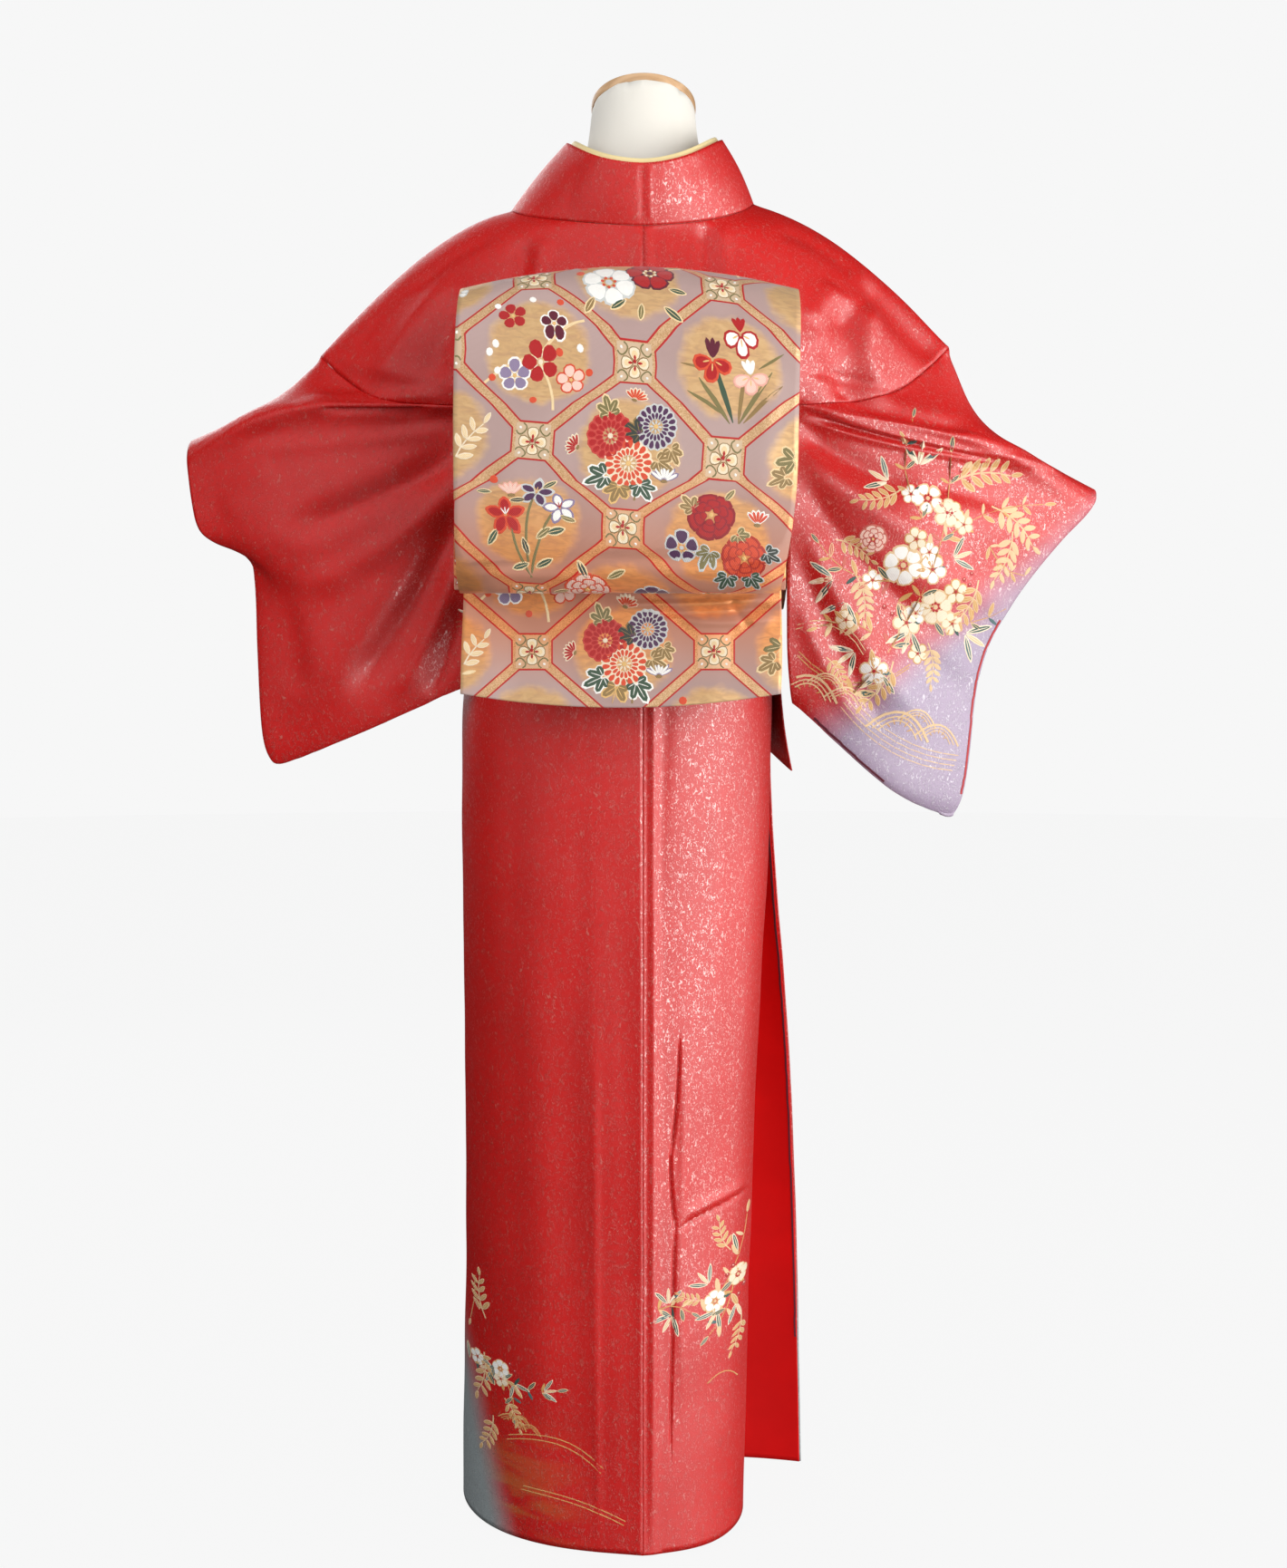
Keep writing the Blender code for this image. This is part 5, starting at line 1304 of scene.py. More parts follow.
def group_camellia(brush):
    for across, up, turn, size, dye in ((-0.6, -0.45, 240, 0.42, BRONZE), (0.55, -0.52, 320, 0.45, GREEN),
                                        (0.20, -0.50, 260, 0.36, OLIVE), (0.60, 0.42, 30, 0.46, OLIVE),
                                        (-0.40, 0.42, 110, 0.40, BRONZE), (-0.05, -0.46, 215, 0.40, GREEN),
                                        (0.66, -0.20, 350, 0.36, GREEN)):
        leaf(brush.at(across, up, turn, size), dye, PALE_GOLD)
    blossom(brush.at(-0.34, -0.16, 12, 0.50), WHITE, SILVER, heart=VERMILION)
    blossom(brush.at(0.38, 0.16, 30, 0.46), CRIMSON, MAROON, heart=CREAM)
    dots(brush, ((-0.82, 0.10), (-0.76, 0.34), (-0.56, 0.56)), VERMILION, 0.16)


def group_iris(brush):
    for across, up, turn, size, dye in ((0.10, -0.95, 128, 1.10, OLIVE), (0.14, -0.95, 112, 1.25, GREEN),
                                        (0.20, -0.95, 88, 1.00, BRONZE), (0.18, -0.95, 62, 1.20, OLIVE),
                                        (0.24, -0.92, 48, 1.05, BRONZE), (0.02, -0.80, 150, 0.90, OLIVE),
                                        (-0.30, 0.0, 172, 0.60, BRONZE), (0.45, 0.06, 32, 0.62, OLIVE)):
        leaf(brush.at(across, up, turn, size), dye, None, 0.085)
    iris(brush.at(0.22, 0.56, 4, 0.38), WHITE, CRIMSON, CRIMSON)
    iris(brush.at(-0.30, 0.16, -6, 0.42), CRIMSON, VERMILION, MAROON)
    iris(brush.at(0.34, -0.06, 8, 0.38), BLUSH, PINK, WHITE)


def group_chrysanthemum(brush):
    for across, up, turn, size, dye, vein in (
            (-0.30, -0.42, 205, 0.50, GREEN, WHITE), (0.20, -0.50, 300, 0.50, GREEN, WHITE),
            (-0.10, -0.56, 255, 0.50, BRONZE, GOLD), (-0.34, 0.50, 110, 0.42, OLIVE, PALE_GOLD),
            (0.22, 0.24, 150, 0.42, DARK, BRONZE), (0.46, -0.10, 330, 0.42, BRONZE, PALE_GOLD),
            (0.70, 0.12, 300, 0.36, BRONZE, PALE_GOLD)):
        lobed_leaf(brush.at(across, up, turn, size), dye, vein)
    chrysanthemum(brush.at(-0.32, 0.20, 0, 0.42), CRIMSON, (0.560, 0.060, 0.050), heart=CREAM)
    chrysanthemum(brush.at(0.44, 0.40, 0, 0.38), PURPLE, SILVER, 18)
    chrysanthemum(brush.at(0.02, -0.22, 8, 0.44), VERMILION, CREAM, 18)
    half_open(brush.at(0.04, 0.80, -20, 0.26), VERMILION, CREAM)
    half_open(brush.at(-0.86, -0.02, 70, 0.24), CRIMSON, CREAM)
    half_open(brush.at(0.64, -0.44, 0, 0.30), WHITE, LILAC)
    brush.line(arc(0.06, -0.50, 0.16, -0.92, 0.1), 0.04, BRONZE)


def group_lily(brush):
    for start, end in (((0.05, -0.95), (-0.30, 0.0)), ((0.05, -0.95), (0.40, 0.10)),
                       ((0.0, -0.7), (0.1, 0.5))):
        brush.line(arc(*start, *end, 0.06), 0.05, OLIVE)
    for across, up, turn, size, dye in ((-0.50, -0.20, 235, 0.36, GREEN), (0.12, -0.30, 35, 0.36, OLIVE),
                                        (0.30, -0.20, 15, 0.38, GREEN), (0.02, -0.60, 110, 0.36, DARK),
                                        (0.04, -0.72, 200, 0.36, GREEN), (0.10, -0.80, 30, 0.40, GREEN),
                                        (0.52, 0.10, 345, 0.34, OLIVE), (-0.62, 0.44, 180, 0.30, GREEN),
                                        (0.20, 0.60, 40, 0.36, GREEN), (-0.02, 0.36, 190, 0.34, DARK)):
        leaf(brush.at(across, up, turn, size), dye, PALE_GOLD)
    bellflower(brush.at(-0.38, 0.02, 8, 0.38), CRIMSON, VERMILION)
    bellflower(brush.at(0.12, 0.52, -10, 0.34), PURPLE, SILVER, GOLD)
    bellflower(brush.at(0.54, 0.24, 18, 0.32), WHITE, LILAC, CRIMSON)
    half_open(brush.at(-0.30, 0.42, 8, 0.34), BLUSH, PINK, 5)
    dots(brush, ((-0.62, 0.72),), VERMILION, 0.16)


def group_peony(brush):
    for across, up, turn, size, dye, vein in (
            (-0.10, -0.20, 240, 0.44, OLIVE, SILVER), (0.20, -0.60, 250, 0.44, GREEN, SILVER),
            (0.55, -0.60, 300, 0.40, GREEN, SILVER), (-0.42, 0.42, 130, 0.40, BRONZE, PALE_GOLD),
            (0.30, 0.10, 320, 0.36, OLIVE, PALE_GOLD), (0.80, -0.14, 330, 0.36, DARK, SILVER)):
        lobed_leaf(brush.at(across, up, turn, size), dye, vein)
    leaf(brush.at(0.06, 0.62, 60, 0.36), OLIVE, PALE_GOLD)
    peony(brush.at(-0.14, 0.36, 0, 0.44), CRIMSON, (0.26, 0.01, 0.02))
    peony(brush.at(0.46, -0.30, 15, 0.42), VERMILION, (0.42, 0.03, 0.02))
    blossom(brush.at(-0.62, -0.22, 0, 0.32), PURPLE, SILVER, 5)
    half_open(brush.at(0.66, 0.26, 0, 0.30), VERMILION, WHITE, 5)


def group_pink(brush):
    for across, up, turn, size, dye in ((-0.60, 0.50, 120, 0.40, DARK), (-0.30, 0.52, 30, 0.42, OLIVE),
                                        (-0.90, 0.20, 200, 0.36, BRONZE)):
        leaf(brush.at(across, up, turn, size), dye, PALE_GOLD)
    peony(brush.at(-0.62, 0.22, 0, 0.44), BLUSH, VERMILION)
    blossom(brush.at(0.50, 0.10, 0, 0.36), PURPLE, SILVER, 6)


def group_gold_leaves(brush):
    for across, up, turn in ((-0.2, -0.9, 100), (0.3, -0.6, 60), (-0.1, 0.0, 80)):
        sprig(brush.at(across, up, turn, 0.95), PALE_GOLD, CREAM, 4)


def group_pale(brush):
    half_open(brush.at(-0.30, 0.42, 10, 0.36), WHITE, CREAM)
    for across, up, turn, dye, vein in ((-0.36, 0.10, 190, OLIVE, PALE_GOLD),
                                        (-0.20, 0.12, 60, GOLD, CREAM),
                                        (-0.50, -0.14, 210, BRONZE, PALE_GOLD),
                                        (0.0, -0.5, 250, GOLD, CREAM)):
        lobed_leaf(brush.at(across, up, turn, 0.44), dye, vein)
    blossom(brush.at(0.05, -0.26, 0, 0.34), PURPLE, SILVER, 5)


def group_daisy(brush):
    chrysanthemum(brush.at(0.16, -0.10, 0, 0.34), WHITE, SILVER, 12, VERMILION)
    leaf(brush.at(-0.25, -0.30, 200, 0.50), GOLD, BRONZE)
    leaf(brush.at(-0.20, -0.40, 240, 0.50), OLIVE, PALE_GOLD)


def group_trail(brush):
    sprig(brush.at(-0.30, 0.55, 275, 1.15), CREAM, PALE_GOLD, 7)
    sprig(brush.at(0.25, 0.65, 262, 0.95), PALE_GOLD, CREAM, 6)


GROUP_RADIUS = 0.0520
DRUM_CELLS = [
    (0, 1, group_camellia), (-1, 0, group_plum), (1, 0, group_iris), (0, -1, group_chrysanthemum),
    (-1, -2, group_lily), (1, -2, group_peony), (0, -3, group_pink), (-2, -1, group_gold_leaves),
    (2, -1, group_pale), (-2, 1, group_daisy), (2, 1, group_trail), (-1, 2, group_peony), (1, 2, group_plum),
    (0, 3, group_chrysanthemum), (-2, -3, group_daisy), (2, -3, group_trail),
]
FLAP_CELLS = [
    (0, 1, group_chrysanthemum), (-2, 1, group_gold_leaves), (2, 1, group_pale), (-1, 2, group_plum),
    (1, 2, group_pink), (-1, 0, group_pink), (1, 0, group_camellia),
]
BAND_CELLS = [
    (-5, 0, group_iris), (-3, 0, group_peony), (-1, 0, group_chrysanthemum), (1, 0, group_camellia),
    (3, 0, group_plum), (5, 0, group_lily), (0, 1, group_daisy), (0, -1, group_gold_leaves),
    (2, 1, group_trail), (2, -1, group_pale), (-2, 1, group_gold_leaves), (-2, -1, group_pink),
    (-4, 1, group_daisy), (-4, -1, group_gold_leaves), (4, 1, group_pale), (4, -1, group_daisy),
]


# %% [markdown]
# The small squares of the lattice hold a four-petalled flower with scrolled corners.

# %% Draw the square flower and set all groups down


def square_flower(brush):
    for petal in range(4):
        turned = brush.at(0, 0, 90 * petal)
        turned.dab(0.06, 0, 0, 0.86, 0.80, BRONZE, tip=0.25, notch=0.14)
        turned.dab(0.12, 0, 0, 0.76, 0.68, CREAM, tip=0.25, notch=0.16, layer=1)
        turned.dab(0.14, 0, 0, 0.56, 0.40, PALE_GOLD, tip=0.2, layer=2)
        turned.dab(0.12, 0, 0, 0.34, 0.17, CRIMSON, layer=3, sides=6)
        corner = turned.at(0, 0, 45)
        corner.line(arc(0.74, 0.0, 1.12, 0.30, 0.34, 4), 0.09, OLIVE)
        corner.line(arc(0.74, 0.0, 1.12, -0.30, -0.34, 4), 0.09, OLIVE)
        corner.dab(0.98, 0, 0, 0.20, 0.16, WHITE, layer=1, sides=6)
    brush.dab(-0.12, 0, 45, 0.24, 0.24, CRIMSON, layer=4, sides=6)


DRUM_START, FLAP_START, BAND_START = 0.40, 0.60, 0.15


def drum_aim(across, up):
    row = up / LATTICE_V
    real_across = across + np.interp(row, ROW_NUMBERS, ROW_SHIFTS)
    place = PATTERN_V + np.interp(row, ROW_NUMBERS, ROW_PLACES) - ROW_TURN * real_across
    turn = float(np.interp(-place, [-number for number in path_places], path_turns))
    out = Vector((0, math.cos(turn), math.sin(turn)))
    return Vector((real_across + PATTERN_X, *DRUM_EYE)) + out * DRUM_START, -out


def flap_aim(across, up):
    return Vector((across + FLAP_X, -FLAP_START, up + FLAP_Z)), Vector((0, 1, 0))


def band_aim(across, up):
    turn = float(np.interp(across, ellipse_places, ellipse_turns))
    place = Vector((BAND_X - BAND_HALF_X * math.sin(turn), BAND_HALF_Y * math.cos(turn), up + BAND_Z))
    out = Vector((-math.sin(turn) / BAND_HALF_X, math.cos(turn) / BAND_HALF_Y, 0)).normalized()
    return place + out * BAND_START, -out


def new_work():
    """Empty mesh with a dye for each corner."""
    mesh = bmesh.new()
    mesh.loops.layers.float_color.new("dye")
    return mesh


def finish_work(name, mesh, finish):
    """Turn a brush's mesh into one piece."""
    piece = make_object(name, mesh, smooth=False)
    piece.data.materials.append(finish)
    declare(piece, [])
    print(f"{name}: {len(piece.data.polygons)} faces")


SQUARE_RADIUS = 0.0150
for node, aim, cells, reach_u, reach_v, name in (
        ("obi_taiko", drum_aim, DRUM_CELLS, 2, 3, "drum_flowers"),
        ("obi_tare", flap_aim, FLAP_CELLS, 2, 2, "flap_flowers"),
        ("obi_band", band_aim, BAND_CELLS, 5, 1, "band_flowers")):
    work = new_work()
    top = Brush(work, Ground(obi_sheets[node], aim))
    for column, rank, draw in cells:
        draw(top.at(column * LATTICE_U, rank * LATTICE_V, 0, GROUP_RADIUS))
    for column in range(-reach_u, reach_u + 1):
        for rank in range(-reach_v, reach_v + 1):
            if (column + rank) % 2 == 0:
                square_flower(top.at(column * LATTICE_U, rank * LATTICE_V, 0, SQUARE_RADIUS))
    finish_work(name, work, thread)

# %% [markdown]
# ## Painted sprays
# The silk carries sprays of blossom, leaves, waves and water lines, in resist dye with some gold. The
# layout here is a common one: branches that rise across the sleeve and along the hem, one at the back and
# its partner in front.

# %% Set up the silk grounds
SILK_START = 0.8


def sheet_tree(node):
    """Search tree of a finished cloth piece."""
    return search_tree(pieces[node].evaluated_get(bpy.context.evaluated_depsgraph_get()).to_mesh())


def from_behind(across, up):
    return Vector((across, -SILK_START, up)), Vector((0, 1, 0))


def from_front(across, up):
    return Vector((-across, SILK_START, up)), Vector((0, -1, 0))


DYED_GREEN = (0.030, 0.085, 0.070)
DYED_TEAL = (0.070, 0.140, 0.140)
DYED_GOLD = (0.600, 0.330, 0.110)
DYED_SAND = (0.720, 0.500, 0.280)
DYED_ROSE = (0.560, 0.120, 0.090)


# %% Draw branches, waves and water
def branch(brush, path, leaf_size, dyes, flowers=0, flower_size=0.014):
    """Stem with leaves on both sides in turn, and some open flowers."""
    brush.line(path, 0.0012, DYED_GOLD, taper=0.4)
    for number, (start, end) in enumerate(zip(path, path[1:])):
        run = math.degrees(math.atan2(end[1] - start[1], end[0] - start[0]))
        side = 1 if number % 2 else -1
        size = leaf_size * (1.0 - 0.05 * number)
        leaf(brush.at(*start, run + 46 * side, size), dyes[number % len(dyes)], DYED_SAND, 0.34)
        leaf(brush.at(*start, run - 62 * side, size * 0.8), dyes[(number + 1) % len(dyes)], None, 0.30)
    leaf(brush.at(*path[-1], run, leaf_size * 0.7), dyes[0], DYED_SAND, 0.34)
    for number in range(flowers):
        across, up = path[1 + 2 * number]
        dye = WHITE if number % 2 == 0 else CREAM
        plum(brush.at(across, up, 20 * number, flower_size), dye, DYED_SAND, CRIMSON)


def wave(brush, across, up, size, dye=DYED_SAND):
    """Overlapping scales with ribs, the old sign for waves."""
    for shift_across, shift_up, reach in ((0.30, 0.16, 0.62), (0.0, 0.0, 1.0), (0.62, -0.10, 0.72)):
        scale = brush.at(across + shift_across * size, up + shift_up * size, -14, size * reach / 2)
        for ring, width in ((1.0, 0.085), (0.80, 0.045), (0.62, 0.045)):
            scale.line(arc(-ring, 0.0, ring, 0.0, 0.34, 8), width, dye, layer=1)
        for rib in range(5):
            lean = scale.at(0, 0, 32 + 29 * rib)
            lean.dab(0.28, 0, 0, 0.26, 0.05, DYED_GOLD, sides=6)


def water(brush, path, count, gap, dye=DYED_SAND):
    """Parallel thin lines."""
    for number in range(count):
        shift = (number - (count - 1) / 2) * gap
        brush.line([(across + shift * 0.4, up + shift) for across, up in path], 0.0010, dye)


def bunch(brush, across, up, turn, size, dyes, count=3):
    """Narrow leaves that spread from one point."""
    for number in range(count):
        lean = turn + (number - (count - 1) / 2) * 44
        reach = size * (1.0 - 0.14 * (number % 2))
        leaf(brush.at(across, up, lean, reach), dyes[number % len(dyes)], CREAM, 0.24)


def berries(brush, places, size):
    for across, up in places:
        brush.dab(across, up, 0, size, size, CRIMSON, sides=8)
        brush.dab(across + size * 0.3, up + size * 0.15, 0, size * 0.3, size * 0.3, BLUSH, layer=1, sides=6)


def sleeve_spray(brush):
    """Blossoming branches across a sleeve bag, in the sleeve's own metres."""
    leafy = (DYED_GREEN, DYED_GOLD, DYED_TEAL, DYED_ROSE)
    golden = (DYED_GOLD, DYED_SAND)
    branch(brush, arc(0.205, 0.840, 0.300, 1.075, -0.10, 9), 0.024, leafy, 4, 0.0150)
    branch(brush, arc(0.262, 0.960, 0.398, 1.028, 0.12, 7), 0.020, golden, 2, 0.0105)
    branch(brush, arc(0.248, 0.930, 0.362, 0.925, -0.16, 6), 0.022, leafy, 2, 0.0120)
    branch(brush, arc(0.240, 0.950, 0.170, 0.985, 0.14, 5), 0.020, (DYED_GREEN, DYED_ROSE, DYED_GOLD),
           1, 0.0110)
    branch(brush, arc(0.222, 0.900, 0.170, 0.905, -0.14, 4), 0.019, golden, 0)
    branch(brush, arc(0.270, 1.010, 0.262, 1.108, 0.12, 4), 0.017, (DYED_GREEN, DYED_GOLD), 1, 0.0100)
    branch(brush, arc(0.340, 0.985, 0.398, 0.960, -0.20, 4), 0.014, golden, 0)
    blossom(brush.at(0.252, 0.965, 10, 0.0215), WHITE, DYED_SAND, 6, DYED_GOLD)
    blossom(brush.at(0.286, 0.925, 40, 0.0185), CREAM, DYED_SAND, 6, CRIMSON)
    blossom(brush.at(0.276, 1.030, 25, 0.0165), WHITE, DYED_SAND, 5, CRIMSON)
    peony(brush.at(0.222, 0.990, 0, 0.0150), BLUSH, DYED_ROSE)
    berries(brush, ((0.300, 1.050), (0.308, 1.058), (0.298, 1.063), (0.315, 1.047),
                    (0.232, 0.925), (0.240, 0.918)), 0.0058)
    berries(brush, ((0.312, 0.952), (0.320, 0.958), (0.318, 0.947)), 0.0050)
    for across, up, turn, size in (
            (0.268, 1.062, 80, 0.030), (0.238, 1.046, 150, 0.028), (0.184, 0.952, 190, 0.030),
            (0.196, 0.930, 250, 0.028), (0.262, 0.902, 250, 0.030), (0.318, 0.900, 330, 0.032),
            (0.206, 0.882, 215, 0.027), (0.302, 0.972, 20, 0.026), (0.232, 0.860, 260, 0.026)):
        bunch(brush, across, up, turn, size, (DYED_TEAL, DYED_SAND, DYED_GREEN))
    for across, up, turn, size, dye in (
            (0.300, 1.046, 8, 0.062, DYED_GOLD), (0.252, 1.040, 196, 0.046, DYED_GOLD),
            (0.342, 1.024, 320, 0.058, DYED_SAND), (0.364, 1.000, 250, 0.050, DYED_SAND),
            (0.186, 0.990, 330, 0.040, DYED_GOLD), (0.206, 0.956, 280, 0.044, DYED_SAND),
            (0.330, 0.952, 240, 0.052, DYED_GOLD), (0.244, 0.872, 235, 0.052, DYED_GOLD),
            (0.280, 0.890, 275, 0.040, DYED_SAND), (0.178, 0.876, 300, 0.034, DYED_GOLD)):
        sprig(brush.at(across, up, turn, size), dye, DYED_SAND, 5)
    for across, up, turn, size in ((0.300, 1.016, 40, 0.0130), (0.264, 0.990, 15, 0.0120),
                                   (0.306, 0.940, 5, 0.0130),
                                   (0.270, 0.880, 30, 0.0110), (0.196, 0.912, 10, 0.0105)):
        plum(brush.at(across, up, turn, size), CREAM, DYED_GOLD, CRIMSON)
    wave(brush, 0.160, 0.838, 0.060)
    wave(brush, 0.250, 0.800, 0.066)
    water(brush, arc(0.150, 0.880, 0.262, 0.868, -0.22, 8), 2, 0.0036, DYED_GOLD)
    water(brush, arc(0.196, 0.835, 0.330, 0.770, -0.12, 9), 4, 0.0050)
    water(brush, arc(0.148, 0.905, 0.215, 0.880, 0.22, 6), 2, 0.0042)


def hem_spray(brush):
    """Low branches along the hem, rising toward the side."""
    leafy = (DYED_TEAL, DYED_GOLD, DYED_GREEN)
    branch(brush, arc(-0.180, 0.180, -0.085, 0.160, -0.12, 7), 0.018, leafy, 2, 0.0085)
    branch(brush, arc(-0.150, 0.172, -0.128, 0.128, 0.16, 3), 0.014, leafy, 0)
    branch(brush, arc(-0.184, 0.300, -0.176, 0.205, 0.10, 4), 0.013, (DYED_GOLD, DYED_ROSE), 0)
    blossom(brush.at(-0.142, 0.170, 10, 0.0100), WHITE, DYED_SAND, 6, DYED_GOLD)
    bunch(brush, -0.150, 0.168, 200, 0.020, (DYED_GREEN, DYED_SAND, DYED_TEAL))
    bunch(brush, -0.128, 0.160, 300, 0.018, (DYED_TEAL, DYED_GOLD, DYED_GREEN))
    bunch(brush, -0.098, 0.158, 10, 0.017, (DYED_TEAL, DYED_GOLD, DYED_GREEN))
    for across, up, turn, size in ((-0.158, 0.215, 100, 0.040), (-0.160, 0.180, 260, 0.044),
                                   (-0.150, 0.120, 250, 0.036),
                                   (-0.138, 0.142, 300, 0.030)):
        sprig(brush.at(across, up, turn, size), DYED_GOLD, DYED_SAND, 4)
    berries(brush, ((-0.134, 0.178), (-0.129, 0.172), (-0.151, 0.158)), 0.0042)
    wave(brush, -0.130, 0.118, 0.030, DYED_GOLD)
    water(brush, arc(-0.135, 0.104, -0.040, 0.086, 0.16, 8), 2, 0.0050, DYED_GOLD)
    water(brush, arc(-0.120, 0.058, -0.018, 0.036, 0.06, 8), 2, 0.0040, DYED_GOLD)


def hem_cluster(brush):
    """A small bunch beside the front edge."""
    leafy = (DYED_TEAL, DYED_GOLD, DYED_GREEN, DYED_SAND)
    branch(brush, arc(0.060, 0.238, 0.104, 0.320, -0.10, 5), 0.019, (DYED_GOLD, DYED_SAND), 0)
    branch(brush, arc(0.090, 0.262, 0.064, 0.214, 0.10, 4), 0.019, leafy, 0)
    branch(brush, arc(0.014, 0.246, 0.046, 0.240, 0.16, 3), 0.017, leafy, 0)
    for across, up, turn, size in ((0.072, 0.236, 235, 0.024), (0.092, 0.236, 290, 0.022),
                                   (0.064, 0.264, 130, 0.022),
                                   (0.094, 0.286, 60, 0.024), (0.024, 0.250, 90, 0.020),
                                   (0.028, 0.240, 240, 0.024)):
        bunch(brush, across, up, turn, size, (DYED_TEAL, DYED_SAND, DYED_GREEN))
    for across, up, turn, size in ((0.086, 0.292, 110, 0.034), (0.098, 0.220, 250, 0.032),
                                   (0.060, 0.250, 160, 0.026)):
        sprig(brush.at(across, up, turn, size), DYED_GOLD, DYED_SAND, 4)
    blossom(brush.at(0.070, 0.246, 10, 0.0125), WHITE, DYED_SAND, 6, DYED_GOLD)
    blossom(brush.at(0.094, 0.264, 40, 0.0115), CREAM, DYED_SAND, 6, CRIMSON)
    berries(brush, ((0.080, 0.268), (0.086, 0.275), (0.092, 0.243), (0.098, 0.250)), 0.0055)
    water(brush, arc(0.062, 0.166, 0.094, 0.160, 0.30, 6), 1, 0.0050, DYED_GOLD)


def front_spray(brush):
    """The main bunch on the upper wrapped front, low down."""
    leafy = (DYED_GREEN, DYED_GOLD, DYED_TEAL, DYED_SAND)
    branch(brush, arc(-0.130, 0.180, -0.010, 0.380, -0.12, 10), 0.026, leafy, 4, 0.0140)
    branch(brush, arc(-0.095, 0.230, 0.060, 0.250, 0.14, 8), 0.024, leafy, 3, 0.0130)
    branch(brush, arc(-0.060, 0.300, -0.110, 0.400, 0.14, 5), 0.022, (DYED_GOLD, DYED_SAND), 1, 0.0110)
    blossom(brush.at(-0.060, 0.262, 10, 0.0230), WHITE, DYED_SAND, 6, DYED_GOLD)
    blossom(brush.at(-0.022, 0.236, 30, 0.0190), CREAM, DYED_SAND, 6, CRIMSON)
    peony(brush.at(-0.092, 0.232, 0, 0.0190), BLUSH, DYED_ROSE)
    berries(brush, ((-0.040, 0.285), (-0.032, 0.291), (-0.030, 0.281), (-0.075, 0.205),
                    (-0.068, 0.200)), 0.0060)
    wave(brush, -0.150, 0.130, 0.070)
    wave(brush, 0.000, 0.180, 0.080)
    water(brush, arc(-0.140, 0.085, 0.060, 0.070, 0.06, 12), 3, 0.0055)


def shoulder_spray(brush):
    """A short branch on the left chest."""
    leafy = (DYED_GREEN, DYED_GOLD, DYED_TEAL)
    branch(brush, arc(0.150, 1.130, 0.205, 1.215, -0.12, 6), 0.020, leafy, 2, 0.0120)
    blossom(brush.at(0.170, 1.150, 10, 0.0165), WHITE, DYED_SAND, 6, DYED_GOLD)


SPRAYS = [
    ("sleeve_right_spray", "sleeve_right", from_behind, sleeve_spray),
    ("sleeve_left_spray", "sleeve_left", from_front, sleeve_spray),
    ("hem_left_spray", "skirt_back_left", from_behind, hem_spray),
    ("hem_right_spray", "skirt_back_right", from_behind, hem_cluster),
    ("hem_front_spray", "skirt_front_left", from_front, front_spray),
    ("hem_overlap_spray", "okumi_left", from_front, front_spray),
    ("chest_left_spray", "bodice_left", from_front, shoulder_spray),
]
for name, node, aim, draw in SPRAYS:
    work = new_work()
    draw(Brush(work, Ground(sheet_tree(node), aim)))
    finish_work(name, work, painted)

# %% [markdown]
# A woven flower shows where the obi's tucked end leaves the drum. The right sleeve's outer edge has a
# thin crimson cord, its foot and the lining's edge a dark one. A ray finds each edge: it walks outward
# from a guide point until it misses the cloth.

# %% Add the end's flower and the edge cords
work = new_work()
end_brush = Brush(work, Ground(sheet_tree("obi_te"), from_behind))
half_open(end_brush.at(-0.1640, 0.9560, 8, 0.0125), WHITE, CRIMSON, 9)
half_open(end_brush.at(-0.1640, 0.9480, 176, 0.0110), WHITE, CRIMSON, 5)
finish_work("end_flower", work, thread)

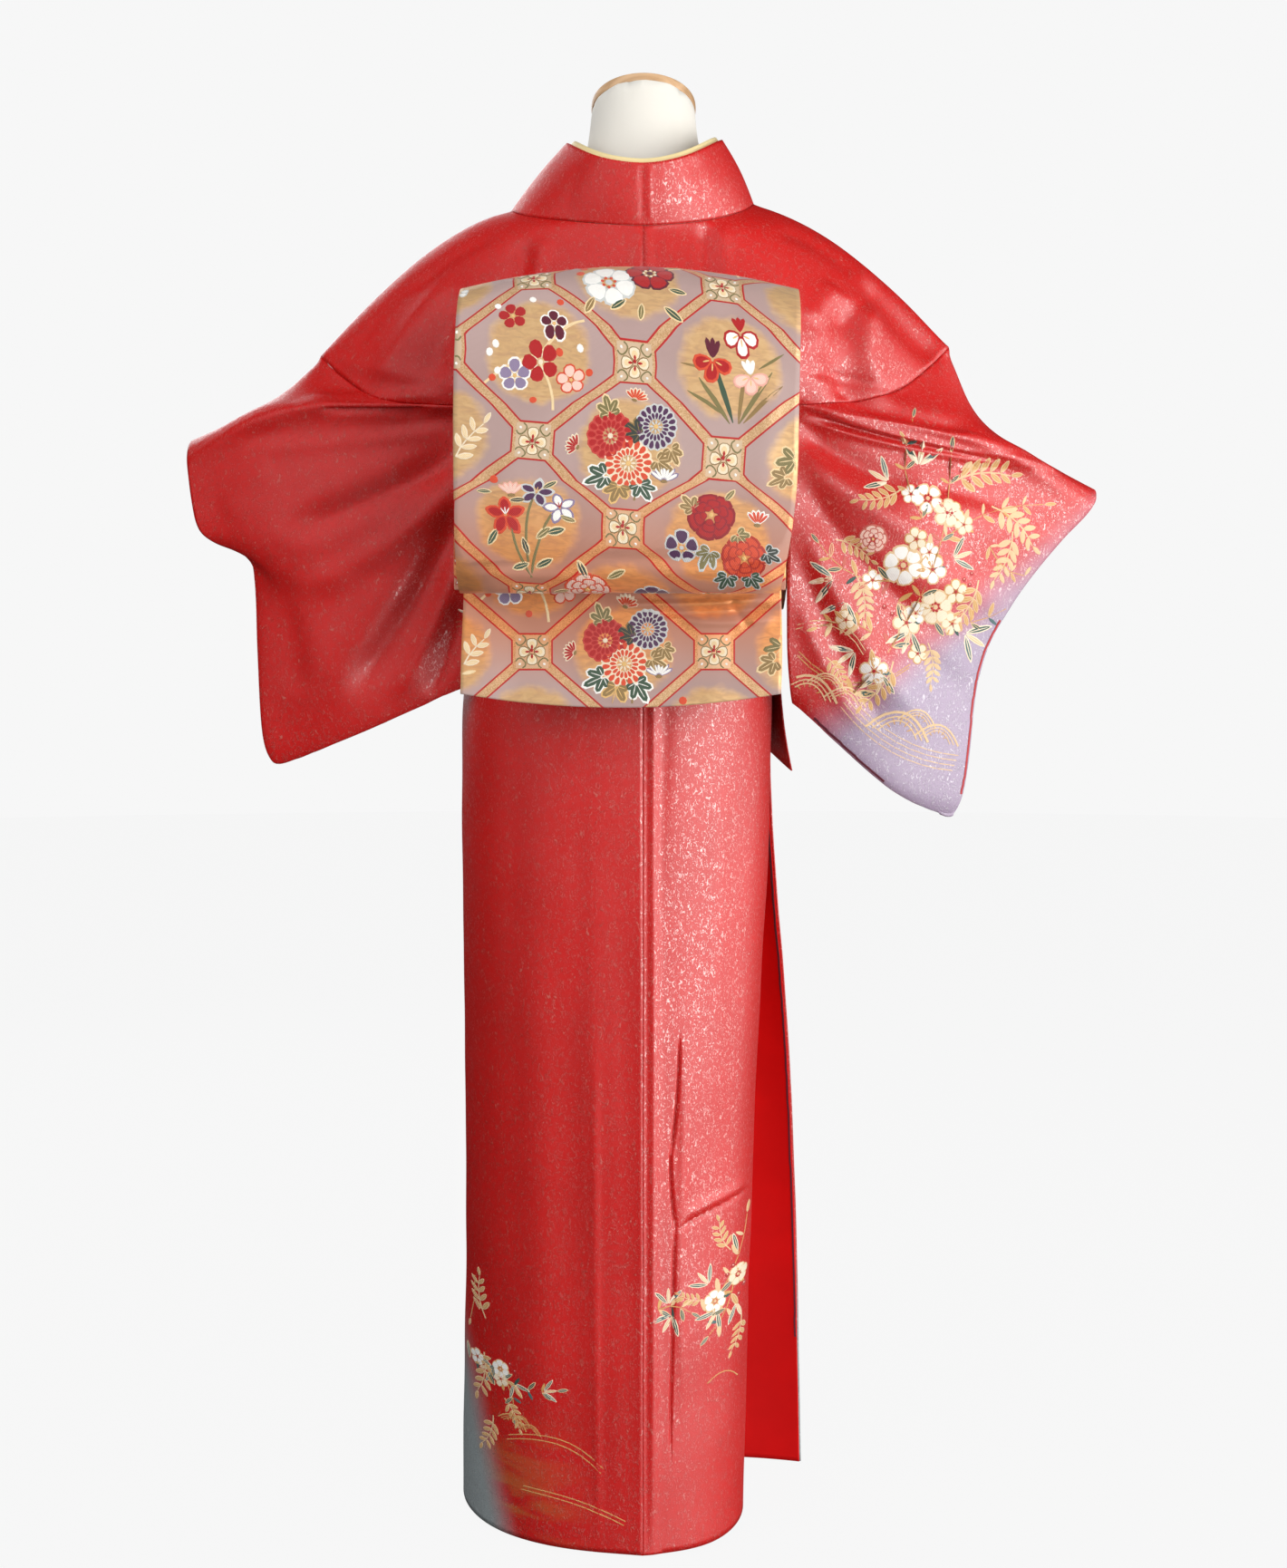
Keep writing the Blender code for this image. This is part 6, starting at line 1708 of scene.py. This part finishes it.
EDGE_STEP = 0.0008
EDGE_LIMIT = 0.120
Cord = namedtuple("Cord", "name node guide outward inset width dye")
CORDS = [
    Cord("sleeve_cord", "sleeve_right", arc(0.330, 0.910, 0.280, 0.735, 0.0, 40),
         (1.0, 0.12), 0.0030, 0.0022,
         CRIMSON),
    Cord("sleeve_foot", "sleeve_right", arc(0.190, 0.850, 0.262, 0.790, 0.0, 24),
         (-0.55, -0.84), 0.0030, 0.0022,
         MAROON),
    Cord("lining_cord", "okumi_left_lining", arc(0.120, 0.700, 0.140, 0.145, 0.0, 60),
         (1.0, 0.0), 0.0026, 0.0020,
         MAROON),
]


def edge_run(ground, guide, outward, inset):
    """Points just inside a sheet's edge."""
    found = []
    for across, up in guide:
        reach = 0.0
        while reach < EDGE_LIMIT:
            origin, direction = ground.aim(across + outward[0] * reach, up + outward[1] * reach)
            if ground.tree.ray_cast(origin, direction)[0] is None:
                break
            reach += EDGE_STEP
        if 0 < reach < EDGE_LIMIT:
            found.append((across + outward[0] * (reach - inset), up + outward[1] * (reach - inset)))
    return found


for row in CORDS:
    work = new_work()
    ground = Ground(sheet_tree(row.node), from_behind)
    run = edge_run(ground, row.guide, row.outward, row.inset)
    print(row.name, len(run), "points, from", [round(number, 3) for number in run[0] + run[-1]])
    Brush(work, ground).line(run, row.width, row.dye, layer=2)
    finish_work(row.name, work, painted)

# %% [markdown]
# ## The dress form
# The kimono stands on a limbless form: a cream cloth cover, a turned wooden cap at the neck, and a metal
# pole on a round foot.

# %% Make the form
cover = Paint("form_cover", roughness=0.85, sheen_weight=0.2)
knit = cover.ridges(cover.place(), "Z", 520.0, 0.6)
cover.colour(cover.mix(knit * 0.25, (0.690, 0.665, 0.610), (0.630, 0.605, 0.545)))
cover.bump(knit, 0.0001, 0.3)

wood = Paint("form_wood", roughness=0.42)
grain = wood.noise(wood.scaled(wood.place(), (9.0, 60.0, 60.0)), 1.0, 4.0, 0.6)
wood.colour(wood.mix(grain.step(0.35, 0.65), (0.420, 0.245, 0.120), (0.620, 0.400, 0.230)))
wood.rough(0.38 + grain * 0.16)

steel = Paint("form_metal", roughness=0.34, metallic=0.9)
steel.surface.inputs["Base Color"].default_value = (0.62, 0.62, 0.63, 1)

for name, node, finish, slot, edge in (
        ("form_body", "form_torso", cover.material, "form_cover", 50),
        ("form_cap", "form_neck_cap", wood.material, "form_wood", 40),
        ("form_rod", "form_pole", steel.material, "form_metal", 40),
        ("form_foot", "form_base", steel.material, "form_metal", 40)):
    declare(solid_copy(name, node, finish, math.radians(edge)), [node])
